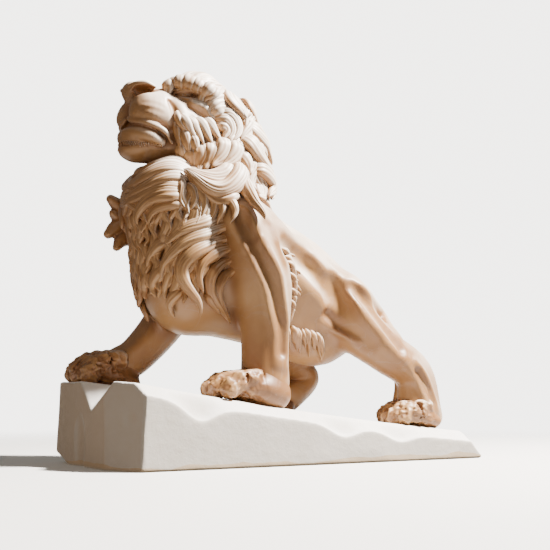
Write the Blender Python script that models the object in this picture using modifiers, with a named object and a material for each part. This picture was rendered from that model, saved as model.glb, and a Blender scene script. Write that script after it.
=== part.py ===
"""Marble lion garden statue: a striding lion carved in cream marble on a rough-hewn white rock base.

The lion faces -X, its left side is at -Y, and the rock's flat underside is at Z = 0.
"""

import math

import bmesh
import bpy
from mathutils import Matrix, Vector
from mathutils.bvhtree import BVHTree

# Driving sizes, in metres

STATUE_HEIGHT = 1.80

ROCK_LENGTH = 1.88
ROCK_WIDTH = 0.81
ROCK_HIGH_END = 0.362
ROCK_MIDDLE = 0.223
ROCK_LOW_END = 0.122
ROCK_THIN_EDGE = 0.018
ROCK_SHOULDER = 0.085
ROCK_EDGE_DROP = 0.045
ROCK_NOSE = 0.12
SCALLOP_DEPTH = 0.080
SCALLOP_WIDTH = 0.15
CORNER_SCOOP = 0.24
END_HOLLOW = 0.030
CONTACT_GAP = 0.0003

CLAY_GRAIN = 0.0100
LION_TRIANGLES = 8300

# The figure is drawn in shares of the statue's height, over a rock of this middle height and fall

SHARE = STATUE_HEIGHT / 100
DRAWN_MIDDLE = 12.4
DRAWN_FALL = 0.127

# The places along the near edge where the rock dips, as shares of its length from the middle

NEAR_SCALLOPS = (-0.32, 0.06, 0.23)
FAR_SCALLOPS = (-0.22, 0.02, 0.3)


def bump(value):
    """A smooth bell that is 1 at 0 and falls away on both sides."""
    return math.exp(-value * value)


def ease(value):
    """0 below 0, 1 above 1, and a smooth S between."""
    value = min(max(value, 0.0), 1.0)
    return value * value * (3 - 2 * value)


def rock_crown(x):
    """Height of the rock's middle line: a shallow bowl through its high end, middle and low end."""
    along = x / (ROCK_LENGTH / 2)
    bow = (ROCK_HIGH_END + ROCK_LOW_END) / 2 - ROCK_MIDDLE
    return ROCK_MIDDLE + (ROCK_LOW_END - ROCK_HIGH_END) / 2 * along + bow * along * along


def rock_top(x, y):
    """Height of the rock's top: the crown, less the scalloped fall to each side and the thin nose."""
    scallops = NEAR_SCALLOPS if y < 0 else FAR_SCALLOPS
    dips = sum(bump((x - ROCK_LENGTH * place) / (SCALLOP_WIDTH / 1.6)) for place in scallops)
    edge = ease((abs(y) - (ROCK_WIDTH / 2 - ROCK_SHOULDER)) / ROCK_SHOULDER)
    height = rock_crown(x) - edge * (ROCK_EDGE_DROP + SCALLOP_DEPTH * dips * rock_crown(x) / ROCK_HIGH_END)
    run_out = ease((ROCK_LENGTH / 2 - x) / ROCK_NOSE)
    return ROCK_THIN_EDGE + (height - ROCK_THIN_EDGE) * run_out


def at(x, y, z):
    """A drawn point, carried from the drawn rock to the rock as it is sized."""
    drawn_seat = (DRAWN_MIDDLE - DRAWN_FALL * x) * SHARE
    slope = (ROCK_LOW_END - ROCK_HIGH_END) / ROCK_LENGTH
    seat = ROCK_MIDDLE + slope * x * SHARE
    return Vector((x * SHARE, y * SHARE, z * SHARE + seat - drawn_seat))


def stone(name, red, green, blue, roughness):
    """A polished or tooled marble in one colour."""
    material = bpy.data.materials.new(name)
    material.use_nodes = True
    shader = material.node_tree.nodes["Principled BSDF"]
    shader.inputs["Base Color"].default_value = (red, green, blue, 1)
    shader.inputs["Roughness"].default_value = roughness
    shader.inputs["Metallic"].default_value = 0
    material.diffuse_color = (red, green, blue, 1)
    return material


def add_object(name, mesh, collection, material=None):
    """Puts a mesh in the scene as an object of that name."""
    thing = bpy.data.objects.new(name, mesh)
    collection.objects.link(thing)
    if material:
        mesh.materials.clear()
        mesh.materials.append(material)
    return thing


# Clay: rounded forms that are hulled in pairs and later fused into one surface


def ball_points(centre, radii, frame=None):
    """Points of an egg of three radii, turned by a frame whose columns are its axes."""
    mesh = bmesh.new()
    bmesh.ops.create_icosphere(mesh, subdivisions=2, radius=1)
    turn = frame or Matrix.Identity(3)
    points = [centre + turn @ Vector(vert.co[i] * radii[i] for i in range(3)) for vert in mesh.verts]
    mesh.free()
    return points


def hull(clay, points):
    """Adds the convex hull of the points to the clay."""
    verts = [clay.verts.new(point) for point in points]
    result = bmesh.ops.convex_hull(clay, input=verts)
    inner = [item for item in result["geom_interior"] if isinstance(item, bmesh.types.BMVert)]
    bmesh.ops.delete(clay, geom=inner, context="VERTS")


def egg(clay, x, y, z, long, wide, tall, pitch=0.0):
    """An egg at a drawn place; pitch in degrees lifts its front end."""
    frame = Matrix.Rotation(math.radians(pitch), 3, "Y")
    hull(clay, ball_points(at(x, y, z), (long * SHARE, wide * SHARE, tall * SHARE), frame))


def limb(clay, stations, flat=1.0):
    """A chain of tapering forms through stations (x, y, z, radius); flat narrows them across the body."""
    for first, second in zip(stations, stations[1:]):
        points = []
        for x, y, z, radius in (first, second):
            size = radius * SHARE
            points += ball_points(at(x, y, z), (size, size * flat, size))
        hull(clay, points)


LOCK_STEPS = 6
LOCK_SWELL = (0.7, 0.98, 1.0, 0.86, 0.55, 0.12)
LOCK_PROUD = (-0.6, 0.1, 0.45, 0.6, 0.7, 0.75)


def lock(clay, skin, root, bend, tip, width, thick, flick=0.0):
    """A lock of hair laid on the skin: a flat tapering blade on the curve that leaves root for bend and ends at tip.

    Its tip stands off the skin by flick.
    """
    centres = []
    for step in range(LOCK_STEPS):
        along = step / (LOCK_STEPS - 1)
        wander = root.lerp(bend, along).lerp(bend.lerp(tip, along), along)
        place, normal = skin.find_nearest(wander)[:2]
        centres.append((place + normal * (LOCK_PROUD[step] * thick + flick * along ** 3) * SHARE, normal))
    stations = []
    for step, (centre, normal) in enumerate(centres):
        ahead = centres[min(step + 1, LOCK_STEPS - 1)][0] - centres[max(step - 1, 0)][0]
        side = ahead.cross(normal).normalized()
        frame = Matrix((ahead.normalized(), side, side.cross(ahead).normalized())).transposed()
        swell = LOCK_SWELL[step] * SHARE
        stations.append(ball_points(centre, (thick * swell, width * swell, thick * swell), frame))
    for first, second in zip(stations, stations[1:]):
        hull(clay, first + second)


def halfway(root, tip, swing):
    """The bend of a lock that bows sideways, round the body, by swing shares."""
    middle = root.lerp(tip, 0.5)
    across = (tip - root).cross(Vector((middle.x - at(-15, 0, 0).x, middle.y, 0))).normalized()
    return middle + across * swing * SHARE


# The body


def torso(clay):
    """Barrel of the ribs, loin, pelvis and the low belly."""
    limb(clay, [(-15, 0, 50, 16.0), (3, 0, 45.5, 14.2)], flat=0.78)
    limb(clay, [(3, 0, 45.5, 14.2), (20, 0, 40.2, 9.4), (29, 0, 35.0, 6.6)], flat=0.86)
    limb(clay, [(0, 0, 38, 10.0), (12, 0, 34.5, 9.9), (18.5, 0, 35.5, 7.2)], flat=0.85)
    limb(clay, [(-24, 0, 46, 13.5), (-10, 0, 45, 14.5)], flat=0.85)
    limb(clay, [(-8, 0, 60, 7.5), (7, 0, 51.5, 6.0), (20, 0, 45.0, 4.5)], flat=0.7)


def neck(clay):
    """Thick neck rising from the shoulders to the crown, and the full chest below the throat."""
    limb(clay, [(-14, 0, 62, 10.6), (-16, 0, 76, 10.6), (-19.5, 0, 84.5, 10.4)], flat=1.05)
    limb(clay, [(-28.5, 0, 64, 12.6), (-26.5, 0, 52, 12.0), (-25.6, 0, 42.5, 10.4)], flat=1.04)
    limb(clay, [(-20, 0, 68, 12.5), (-29.0, 0, 66, 12.4)], flat=1.1)
    limb(clay, [(-26.5, 0, 90.2, 7.0), (-19.5, 0, 88.6, 7.8)], flat=1.2)


def near_foreleg(clay):
    """Left foreleg, straight and upright under the shoulder."""
    limb(clay, [(-17, -12.5, 59.5, 6.6), (-13.5, -13.6, 49, 7.4), (-11.2, -13.6, 39.5, 6.6)])
    limb(clay, [(-11.2, -13.6, 39.5, 6.6), (-11.6, -13.4, 29, 5.9), (-11.6, -13.3, 22, 6.1)])
    limb(clay, [(-12, -8, 56, 8.5), (-11, -10, 44, 7.0)])


def far_foreleg(clay):
    """Right foreleg, stretched forward and down to the high end of the rock."""
    limb(clay, [(-18, 11.0, 58, 7.5), (-21.5, 12.0, 46, 6.8), (-26.0, 12.8, 36, 5.8)])
    limb(clay, [(-26.0, 12.8, 36, 5.8), (-33.6, 13.3, 27.5, 4.8), (-38.5, 13.6, 24.0, 4.8)])


def near_hind_leg(clay):
    """Left hind leg, stretched back from the hip to a low hock."""
    limb(clay, [(17.2, -6.8, 42.6, 7.0), (20.0, -9.3, 34.8, 6.8), (28.0, -11.3, 28.4, 5.8)])
    limb(clay, [(28.0, -11.3, 28.4, 5.6), (36.2, -12.3, 22.6, 4.8), (37.4, -12.6, 13.5, 5.4)])
    limb(clay, [(21, -5.5, 38.5, 5.4), (29.8, -8.5, 30.5, 4.3), (39.0, -11.7, 23.6, 3.6)])
    limb(clay, [(39.6, -12.0, 23.4, 3.3), (42.0, -12.5, 12.0, 3.5)])


def far_hind_leg(clay):
    """Right hind leg, stepping forward under the belly."""
    limb(clay, [(22, 7, 40, 8.0), (14, 11.5, 32.5, 7.0), (8.5, 12.5, 29, 5.6)])
    limb(clay, [(8.5, 12.5, 29, 5.2), (18.0, 12.3, 21.6, 3.9), (6.5, 12.3, 13.5, 4.6)])


PAW_TOES = 4


def paw(clay, heel, toe, half_width, tall):
    """A spread paw: a sloping back and four round toes, each with a knuckle and a tip, from heel to toe."""
    heel, toe = at(*heel), at(*toe)
    run = toe - heel
    across = Vector((0, 0, 1)).cross(run).normalized()
    size = half_width * SHARE
    high = tall * SHARE
    back = ball_points(heel + run * 0.20, (size * 0.95, size * 0.84, high * 0.60))
    back += ball_points(heel + run * 0.60, (size * 0.7, size * 0.92, high * 0.40))
    hull(clay, back)
    for index in range(PAW_TOES):
        place = index / (PAW_TOES - 1) * 2 - 1
        root = heel + run * (0.66 - 0.06 * abs(place)) + across * place * size * 0.74
        reach = run * (0.26 - 0.04 * abs(place))
        thick = size * 0.29
        knuckle = ball_points(root, (thick * 1.2, thick, high * 0.50))
        tip = ball_points(root + reach, (thick * 1.1, thick * 0.92, high * 0.40))
        hull(clay, knuckle + tip)


def paws(clay):
    """Four paws, each on the rock at its own place, and the dewclaw of the stretched foreleg."""
    paw(clay, (-6.0, -13.0, 14.8), (-27.0, -13.0, 18.6), 6.7, 11.6)
    paw(clay, (-31.8, 14.2, 22.0), (-52.3, 14.2, 23.2), 6.6, 10.0)
    paw(clay, (45.0, -12.6, 9.0), (27.5, -12.6, 10.6), 6.2, 8.6)
    paw(clay, (13.5, 12.3, 12.4), (-6.0, 12.3, 14.8), 6.0, 8.6)
    limb(clay, [(-38.5, 9.4, 25.5, 2.4), (-43.0, 9.0, 26.0, 1.6)])


def tail(clay):
    """Tail hanging inside the near hind leg, its tuft on the rock."""
    limb(clay, [(32, 0, 38.5, 3.0), (38.5, -1, 31, 2.4), (40.5, -3, 21, 2.3), (36, -4, 12.0, 3.3)])


# The head


def head(clay):
    """Skull, bridge of the nose, muzzle and jaw."""
    egg(clay, -24.0, 0, 87.5, 9.0, 8.8, 8.2)
    limb(clay, [(-28.5, 0, 88.6, 5.4), (-39.2, 0, 90.2, 3.4)], flat=1.05)
    limb(clay, [(-30, 0, 84.5, 7.0), (-37.0, 0, 85, 5.6)])
    limb(clay, [(-29, 0, 79.8, 5.0), (-39.0, 0, 79.0, 3.6)], flat=1.15)


def face(clay):
    """Crisp features: nose, nostril wings, whisker pads, brows, cheekbones, eyes, lip and chin."""
    egg(clay, -41.8, 0, 91.8, 2.5, 3.0, 2.0, pitch=-12)
    egg(clay, -41.4, 0, 78.0, 4.0, 4.4, 3.4)
    for side in (-1, 1):
        limb(clay, [(-40.8, side * 3.3, 85.4, 3.9), (-35.0, side * 4.2, 84.0, 3.9)])
        limb(clay, [(-32.6, side * 3.2, 92.2, 1.8), (-26.0, side * 7.2, 91.6, 2.0)])
        limb(clay, [(-30.5, side * 6.4, 86.6, 2.2), (-25.0, side * 8.4, 84.0, 2.6), (-24.5, side * 8.8, 79.0, 1.6)])
        egg(clay, -41.2, side * 2.9, 91.0, 2.2, 1.3, 1.8)
        egg(clay, -30.2, side * 5.0, 90.0, 1.8, 1.2, 1.0, pitch=-8)


# The mane and the fringes


def face_ruff(clay, skin):
    """Two rings of locks that fan back round the face, from the crown down the cheeks."""
    rings = ((-28.5, -19.5, 9.0, 13, 2.3), (-22.5, -14.0, 11.0, 13, 2.8))
    for ring, (front, back, reach, count, width) in enumerate(rings):
        for index in range(count):
            angle = math.radians(-132 + 264 * (index + 0.5 * ring) / (count - 0.5))
            side, rise = math.sin(angle), math.cos(angle)
            root = at(front, side * reach, 87.5 + rise * reach)
            tip = at(back, side * (reach + 3), 86.5 + rise * (reach + 2) - 3.5 * (1 - rise))
            lock(clay, skin, root, halfway(root, tip, 0.8 * (-1) ** index), tip, width, 2.0, flick=1.3)


def crown_tuft(clay, skin):
    """Tuft on the brow, swept up and back."""
    for index in range(5):
        side = index - 2
        root = at(-31.5 + abs(side) * 0.8, side * 2.2, 94.5)
        tip = at(-22.0, side * 3.4, 99.5 - abs(side) * 0.7)
        lock(clay, skin, root, halfway(root, tip, 0), tip, 2.0, 1.6, flick=0.8)


def nape_locks(clay, skin):
    """Rows of locks that fall down the back of the neck to the withers."""
    for row in range(4):
        for index in range(6):
            angle = math.radians(-84 + 168 * (index + 0.5 * (row % 2)) / 5.5)
            high = 91.0 - 6.2 * row
            root = at(-15 + 10 * math.cos(angle), 12 * math.sin(angle), high)
            tip = at(-14 + 12 * math.cos(angle), 13 * math.sin(angle), high - 11.0)
            lock(clay, skin, root, halfway(root, tip, 2.2 * (-1) ** index), tip, 2.8, 2.0, flick=0.8)


CHEST_ROWS = 5
CHEST_COUNT = 7


def chest_locks(clay, skin):
    """Layered rows of hanging locks on the chest; each row's tips stand clear of the next."""
    for row in range(CHEST_ROWS):
        high = 66.0 - 7.0 * row
        for index in range(CHEST_COUNT):
            angle = math.radians(-62 + 124 * (index + 0.5 * (row % 2)) / (CHEST_COUNT - 0.5))
            front, side = 27 + 13.6 * math.cos(angle), 14 * math.sin(angle)
            root = at(-front, side, high)
            tip = at(-front, side * 1.03, high - 10.4)
            lock(clay, skin, root, halfway(root, tip, 2.4 * (-1) ** (index + row)), tip, 2.7, 1.9, flick=0.9)


# Great locks of the side: root, bend, tip as (x, y away from the middle, z), then width and thickness

SIDE_LOCKS = (
    ((-31.5, 9.0, 74.5), (-26.0, 15.5, 66.0), (-16.8, 14.5, 71.8), 3.4, 2.4),
    ((-32.5, 11.0, 70.0), (-28.0, 16.5, 62.0), (-19.0, 17.0, 64.0), 2.4, 2.0),
    ((-32.0, 9.5, 74.0), (-38.0, 9.5, 70.0), (-41.5, 3.0, 66.5), 3.4, 2.4),
    ((-32.5, 12.0, 67.0), (-39.0, 11.5, 66.0), (-40.5, 6.0, 60.5), 3.0, 2.2),
    ((-16.5, 13.0, 75.0), (-8.5, 12.0, 70.5), (-14.6, 16.0, 61.5), 2.6, 2.4),
    ((-12.5, 12.0, 77.0), (-5.0, 11.0, 72.0), (-9.0, 11.5, 66.0), 2.6, 2.2),
    ((-31.0, 14.0, 65.5), (-26.0, 16.5, 60.5), (-28.5, 15.0, 55.5), 2.2, 1.8),
    ((-28.5, 15.0, 65.0), (-22.5, 17.0, 60.0), (-24.0, 15.5, 54.0), 2.2, 1.8),
    ((-24.5, 15.5, 57.5), (-31.0, 15.5, 55.0), (-34.6, 11.5, 47.5), 2.4, 1.9),
    ((-22.5, 15.0, 53.5), (-30.5, 15.0, 50.0), (-28.0, 12.5, 36.8), 2.4, 2.0),
    ((-20.5, 14.5, 50.0), (-26.5, 15.0, 45.5), (-23.0, 11.0, 36.6), 2.2, 1.9),
    ((-18.0, 15.0, 46.5), (-22.5, 15.0, 41.5), (-17.5, 11.0, 34.2), 2.0, 1.8),
)


def side_locks(clay, skin):
    """The great locks: a shawl from the throat to the neck, hooks behind it, and sweeps down beside the chest."""
    for side in (-1, 1):
        for root, bend, tip, width, thick in SIDE_LOCKS:
            places = [at(x, side * y, z) for x, y, z in (root, bend, tip)]
            lock(clay, skin, *places, width, thick, flick=0.5)


def jutting_tufts(clay):
    """Loose tufts that stand out from the front of the far shoulder."""
    for index in range(4):
        limb(clay, [(-36, 9 + index, 66 - 3 * index, 2.2), (-41, 9.5 + index, 65.6 - 3.1 * index, 1.9),
                    (-46.2 + 0.9 * index, 10 + index, 63.6 - 3.1 * index, 0.7)])


def fringes(clay, skin):
    """Fringe behind each elbow and under the belly."""
    for side in (-1, 1):
        for index in range(6):
            root = at(-6.5, side * 13.0, 58 - 4.2 * index)
            tip = at(-3.2, side * 11.5, 52.6 - 4.2 * index)
            lock(clay, skin, root, halfway(root, tip, 0), tip, 1.5, 1.4, flick=0.8)
        for index in range(7):
            root = at(-5.5 + 2.4 * index, side * 8.5, 35.5)
            tip = at(-4.1 + 2.4 * index, side * 6.0, 27.5)
            lock(clay, skin, root, halfway(root, tip, 0), tip, 1.5, 1.3, flick=0.5)


def carve_body():
    """The smooth masses of the body and head, as loose clay."""
    clay = bmesh.new()
    for form in (torso, neck, near_foreleg, far_foreleg, near_hind_leg, far_hind_leg, tail, head):
        form(clay)
    return clay


def carve_detail(skin):
    """Crisp forms over the smooth masses: face, paws, mane and fringes, as loose clay."""
    clay = bmesh.new()
    for form in (face, paws, jutting_tufts):
        form(clay)
    for form in (face_ruff, crown_tuft, nape_locks, chest_locks, side_locks, fringes):
        form(clay, skin)
    return clay


def largest_piece(mesh):
    """Deletes every loose crumb of a mesh and keeps its one large skin."""
    skin = bmesh.new()
    skin.from_mesh(mesh)
    left = set(skin.verts)
    pieces = []
    while left:
        piece = set()
        front = {left.pop()}
        while front:
            piece |= front
            front = {edge.other_vert(vert) for vert in front for edge in vert.link_edges} - piece
        left -= piece
        pieces.append(piece)
    pieces.sort(key=len)
    crumbs = [vert for piece in pieces[:-1] for vert in piece]
    bmesh.ops.delete(skin, geom=crumbs, context="VERTS")
    skin.to_mesh(mesh)
    skin.free()
    return mesh


def to_mesh(clay, name):
    """Writes the clay to a mesh with its faces pointing out."""
    bmesh.ops.recalc_face_normals(clay, faces=clay.faces)
    mesh = bpy.data.meshes.new(name)
    clay.to_mesh(mesh)
    clay.free()
    return mesh


def bake(thing):
    """The thing's mesh with its modifiers applied."""
    view = bpy.context.evaluated_depsgraph_get()
    return bpy.data.meshes.new_from_object(thing.evaluated_get(view))


def fused(thing, smoothing):
    """Fuses overlapping clay into one skin and smooths it."""
    skin = thing.modifiers.new("fuse", "REMESH")
    skin.mode = "VOXEL"
    skin.voxel_size = CLAY_GRAIN
    skin.adaptivity = 0
    soften = thing.modifiers.new("soften", "SMOOTH")
    soften.factor = 0.5
    soften.iterations = smoothing
    mesh = largest_piece(bake(thing))
    thing.modifiers.clear()
    thing.data = mesh
    return thing


def make_lion(collection, helpers, material, seat):
    """The lion: body clay fused and smoothed, hair fused on, thinned, and cut where it stands on the rock."""
    body = fused(add_object("body_clay", to_mesh(carve_body(), "body_clay"), helpers), 4)
    both_clays = bmesh.new()
    both_clays.from_mesh(body.data)
    detail = to_mesh(carve_detail(BVHTree.FromBMesh(both_clays)), "detail_clay")
    both_clays.from_mesh(detail)
    lion = add_object("lion", to_mesh(both_clays, "lion"), collection, material)
    bpy.data.objects.remove(body)
    bpy.data.meshes.remove(detail)
    fused(lion, 1)
    thin = lion.modifiers.new("thin", "DECIMATE")
    thin.ratio = LION_TRIANGLES / sum(len(face.vertices) - 2 for face in lion.data.polygons)
    cut = lion.modifiers.new("stand", "BOOLEAN")
    cut.operation = "DIFFERENCE"
    cut.solver = "EXACT"
    cut.object = seat
    lion.data.materials.clear()
    lion.data.materials.append(material)
    return lion


# The rock base

ROCK_STEPS_LONG = 30
ROCK_STEPS_WIDE = 10


def rock_block(lift=0.0):
    """The rock's block: a top sheet shaped by rock_top, drawn down to a flat underside."""
    sheet = bmesh.new()
    bmesh.ops.create_grid(sheet, x_segments=ROCK_STEPS_LONG, y_segments=ROCK_STEPS_WIDE, size=0.5)
    for vert in sheet.verts:
        vert.co.x *= ROCK_LENGTH
        vert.co.y *= ROCK_WIDTH
        vert.co.z = rock_top(vert.co.x, vert.co.y) + lift
    down = bmesh.ops.extrude_face_region(sheet, geom=sheet.faces[:])
    for item in down["geom"]:
        if isinstance(item, bmesh.types.BMVert):
            item.co.z = 0.0
    under = [face for face in sheet.faces if all(vert.co.z == 0.0 for vert in face.verts)]
    bmesh.ops.dissolve_faces(sheet, faces=under)
    bmesh.ops.triangulate(sheet, faces=[face for face in sheet.faces if len(face.verts) > 4])
    return to_mesh(sheet, "rock")


def scoop(name, helpers, centre, radii):
    """A smooth bite out of the rock."""
    shape = bmesh.new()
    bmesh.ops.create_uvsphere(shape, u_segments=20, v_segments=12, radius=1)
    bmesh.ops.transform(shape, matrix=Matrix.LocRotScale(centre, None, radii), verts=shape.verts)
    cutter = add_object(name, to_mesh(shape, name), helpers)
    cutter.display_type = "WIRE"
    cutter.hide_render = True
    return cutter


def make_rock(collection, helpers, material):
    """The rough-hewn base, with the corner and the high end hollowed by the mason's tools."""
    rock = add_object("rock_base", rock_block(), collection, material)
    left = -ROCK_LENGTH / 2
    near = -ROCK_WIDTH / 2
    bites = (
        scoop("corner_scoop", helpers, Vector((left + 0.02, near - 0.10, ROCK_HIGH_END * 0.62)),
              Vector((CORNER_SCOOP, CORNER_SCOOP * 0.75, ROCK_HIGH_END))),
        scoop("end_hollow", helpers, Vector((left - 0.30 + END_HOLLOW, ROCK_WIDTH * 0.16, ROCK_HIGH_END * 0.5)),
              Vector((0.30, ROCK_WIDTH * 0.30, ROCK_HIGH_END * 1.1))),
    )
    for bite in bites:
        cut = rock.modifiers.new(bite.name, "BOOLEAN")
        cut.operation = "DIFFERENCE"
        cut.solver = "EXACT"
        cut.object = bite
    return rock


def make_seat(helpers):
    """The rock's block raised by the contact gap, which cuts the undersides of the paws."""
    seat = add_object("seat", rock_block(CONTACT_GAP), helpers)
    seat.display_type = "WIRE"
    seat.hide_render = True
    return seat


def main():
    """Builds the statue."""
    for thing in list(bpy.data.objects):
        bpy.data.objects.remove(thing)
    statue = bpy.data.collections.new("marble_lion_garden_statue")
    helpers = bpy.data.collections.new("cutters")
    for collection in (statue, helpers):
        bpy.context.scene.collection.children.link(collection)
    make_rock(statue, helpers, stone("white_marble_hewn", 0.74, 0.72, 0.68, 0.75))
    seat = make_seat(helpers)
    lion = make_lion(statue, helpers, stone("cream_marble_carved", 0.70, 0.52, 0.33, 0.5), seat)
    lion.data.shade_smooth()


main()
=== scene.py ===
"""Marble lion garden statue: a striding lion carved in cream marble on a rough-hewn white rock.

Places are in shares, hundredths of the statue's height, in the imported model's frame: the lion faces -X,
its left side is at -Y, and the rock's underside is at Z = 0.
"""

import math

import bpy
import numpy as np
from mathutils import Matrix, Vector


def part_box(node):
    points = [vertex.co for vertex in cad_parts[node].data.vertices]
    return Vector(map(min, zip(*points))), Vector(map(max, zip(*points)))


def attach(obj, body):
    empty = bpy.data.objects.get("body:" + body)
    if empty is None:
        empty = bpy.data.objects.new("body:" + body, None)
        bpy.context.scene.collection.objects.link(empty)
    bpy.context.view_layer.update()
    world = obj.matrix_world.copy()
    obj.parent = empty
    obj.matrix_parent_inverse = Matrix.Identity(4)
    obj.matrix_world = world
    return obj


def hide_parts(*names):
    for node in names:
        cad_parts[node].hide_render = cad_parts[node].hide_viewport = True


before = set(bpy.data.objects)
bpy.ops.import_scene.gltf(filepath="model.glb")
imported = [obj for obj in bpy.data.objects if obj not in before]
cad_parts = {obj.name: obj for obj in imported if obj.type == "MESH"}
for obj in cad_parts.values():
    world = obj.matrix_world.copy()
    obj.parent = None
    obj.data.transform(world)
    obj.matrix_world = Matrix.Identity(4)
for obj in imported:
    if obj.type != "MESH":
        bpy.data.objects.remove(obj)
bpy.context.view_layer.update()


# The rock base
# One block of white marble split from the quarry face and left rough: its underside is sawn flat, its top
# slopes from the high end to a thin edge, and the mason's point has left shallow scoops along the sides. It
# has no flat or turned face to start from, so it is worked out as clay: a grid of distances to the surface.

SHARE = 1.80 / 100
FAR = 3.0
ROCK_GRAIN = 0.46
rock_low, rock_high = (Vector(corner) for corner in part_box("rock_base"))
ROCK_LENGTH = (rock_high.x - rock_low.x) / SHARE
ROCK_WIDTH = (rock_high.y - rock_low.y) / SHARE
ROCK_HIGH_END = rock_high.z / SHARE
ROCK_MIDDLE = 12.4
ROCK_LOW_END = 6.8
ROCK_THIN_EDGE = 1.0
ROCK_SHOULDER = 4.7
ROCK_EDGE_DROP = 2.5
ROCK_NOSE = 4.6
SPLIT_EDGE = 0.25
SCALLOP_DEPTH = 4.4
SCALLOP_WIDTH = 5.2
NEAR_SCALLOPS = (-0.32, 0.06, 0.23)
FAR_SCALLOPS = (-0.22, 0.02, 0.3)


def clay_block(low, high, grain):
    """A block of clay between two corners: everything is far outside the surface to begin with."""
    counts = [int(math.ceil((top - bottom) / grain)) + 1 for bottom, top in zip(low, high)]
    return {"low": np.array(low, float), "grain": grain, "field": np.full(counts, FAR, np.float32)}


def window(clay, low, high):
    """The part of the block between two corners: its slices and the places of its points along each axis."""
    counts = np.array(clay["field"].shape)
    first = np.clip(np.floor((low - clay["low"]) / clay["grain"]).astype(int), 0, counts - 1)
    last = np.clip(np.ceil((high - clay["low"]) / clay["grain"]).astype(int) + 1, first + 1, counts)
    axes = [clay["low"][i] + clay["grain"] * np.arange(first[i], last[i], dtype=np.float32) for i in range(3)]
    slices = tuple(slice(a, b) for a, b in zip(first, last))
    return slices, np.meshgrid(*axes, indexing="ij", sparse=True)


def whole(clay):
    """The places of all the block's points along each axis."""
    return window(clay, clay["low"], clay["low"] + clay["grain"] * np.array(clay["field"].shape))[1]


def soft_min(first, second, blend):
    """The smaller of two distances, rounded where they are within blend of each other."""
    near = np.maximum(blend - np.abs(first - second), 0) / blend
    return np.minimum(first, second) - near * near * blend / 4


def press(clay, slices, distance, blend, cut):
    """Adds a form to the clay, or presses it in as a hollow when cut is set."""
    field = clay["field"]
    if cut:
        field[slices] = -soft_min(-field[slices], distance, blend)
    else:
        field[slices] = soft_min(field[slices], distance, blend)


def egg(clay, centre, radii, blend=1.5, turn=0.0, pitch=0.0, cut=False):
    """An egg of three radii at a centre, turned about Z and then pitched nose-up, in degrees."""
    reach = max(radii) + FAR
    slices, (x, y, z) = window(clay, np.array(centre) - reach, np.array(centre) + reach)
    dx, dy, dz = x - centre[0], y - centre[1], z - centre[2]
    yaw, lift = math.radians(turn), math.radians(pitch)
    dx, dy = dx * math.cos(yaw) + dy * math.sin(yaw), dy * math.cos(yaw) - dx * math.sin(yaw)
    dx, dz = dx * math.cos(lift) - dz * math.sin(lift), dz * math.cos(lift) + dx * math.sin(lift)
    share = np.sqrt((dx / radii[0]) ** 2 + (dy / radii[1]) ** 2 + (dz / radii[2]) ** 2)
    steepness = np.sqrt((dx / radii[0] ** 2) ** 2 + (dy / radii[1] ** 2) ** 2 + (dz / radii[2] ** 2) ** 2)
    distance = share * (share - 1) / np.maximum(steepness, 1e-6)
    press(clay, slices, distance.astype(np.float32), blend, cut)


def draw_skin(clay):
    """The skin where the distance is zero: a point in each cell it crosses, joined in four-sided faces."""
    field = clay["field"]
    inside = field < 0
    cells = tuple(n - 1 for n in field.shape)
    filled = np.zeros(cells, np.int8)
    for i, j, k in np.ndindex(2, 2, 2):
        filled += inside[i:cells[0] + i, j:cells[1] + j, k:cells[2] + k]
    crossed = np.argwhere((filled > 0) & (filled < 8))
    number = np.full(cells, -1, np.int32)
    number[tuple(crossed.T)] = np.arange(len(crossed))
    corner = {c: field[tuple((crossed + c).T)] for c in np.ndindex(2, 2, 2)}
    total, count = np.zeros((len(crossed), 3)), np.zeros(len(crossed))
    for c in corner:
        for axis in range(3):
            if c[axis] == 0:
                other = tuple(1 if i == axis else c[i] for i in range(3))
                first, last = corner[c], corner[other]
                crosses = (first < 0) != (last < 0)
                share = np.where(crosses, first / np.where(crosses, first - last, 1), 0)
                place = np.array(c) + share[:, None] * np.eye(3)[axis]
                total += np.where(crosses[:, None], place, 0)
                count += crosses
    points = clay["low"] + clay["grain"] * (crossed + total / count[:, None])
    quads = []
    for axis in range(3):
        side, up = np.eye(3, dtype=int)[(axis + 1) % 3], np.eye(3, dtype=int)[(axis + 2) % 3]
        sizes = list(enumerate(inside.shape))
        here = inside[tuple(slice(0, n - 1) if i == axis else slice(1, n - 1) for i, n in sizes)]
        ahead = inside[tuple(slice(1, n) if i == axis else slice(1, n - 1) for i, n in sizes)]
        edges = np.argwhere(here != ahead)
        leaving = here[tuple(edges.T)]
        edges = edges + 1 - np.eye(3, dtype=int)[axis]
        round_edge = ((0, 0), (1, 0), (1, 1), (0, 1))
        ring = np.stack([number[tuple((edges - a * side - b * up).T)] for a, b in round_edge], axis=1)
        quads.append(np.where(leaving[:, None], ring, ring[:, ::-1]))
    return points, np.vstack(quads)


def ripple(places, size, seed):
    """Smooth noise about 0: a sum of sine waves about size long that run in scattered directions."""
    scatter = np.random.default_rng(seed)
    total = 0.0
    for _ in range(9):
        wave = scatter.normal(size=3)
        wave *= 2 * math.pi / (size * scatter.uniform(0.7, 1.5)) / np.linalg.norm(wave)
        total = total + np.sin(sum(wave[i] * places[i] for i in range(3)) + scatter.uniform(0, 6.28))
    return total / 4.5


def ease(value):
    """0 below 0, 1 above 1, and a smooth S between."""
    value = np.clip(value, 0, 1)
    return value * value * (3 - 2 * value)


def rock_crown(x):
    """Height of the rock's middle line: a shallow bowl through its high end, middle and low end."""
    along = x / (ROCK_LENGTH / 2)
    bow = (ROCK_HIGH_END + ROCK_LOW_END) / 2 - ROCK_MIDDLE
    return ROCK_MIDDLE + (ROCK_LOW_END - ROCK_HIGH_END) / 2 * along + bow * along * along


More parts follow.
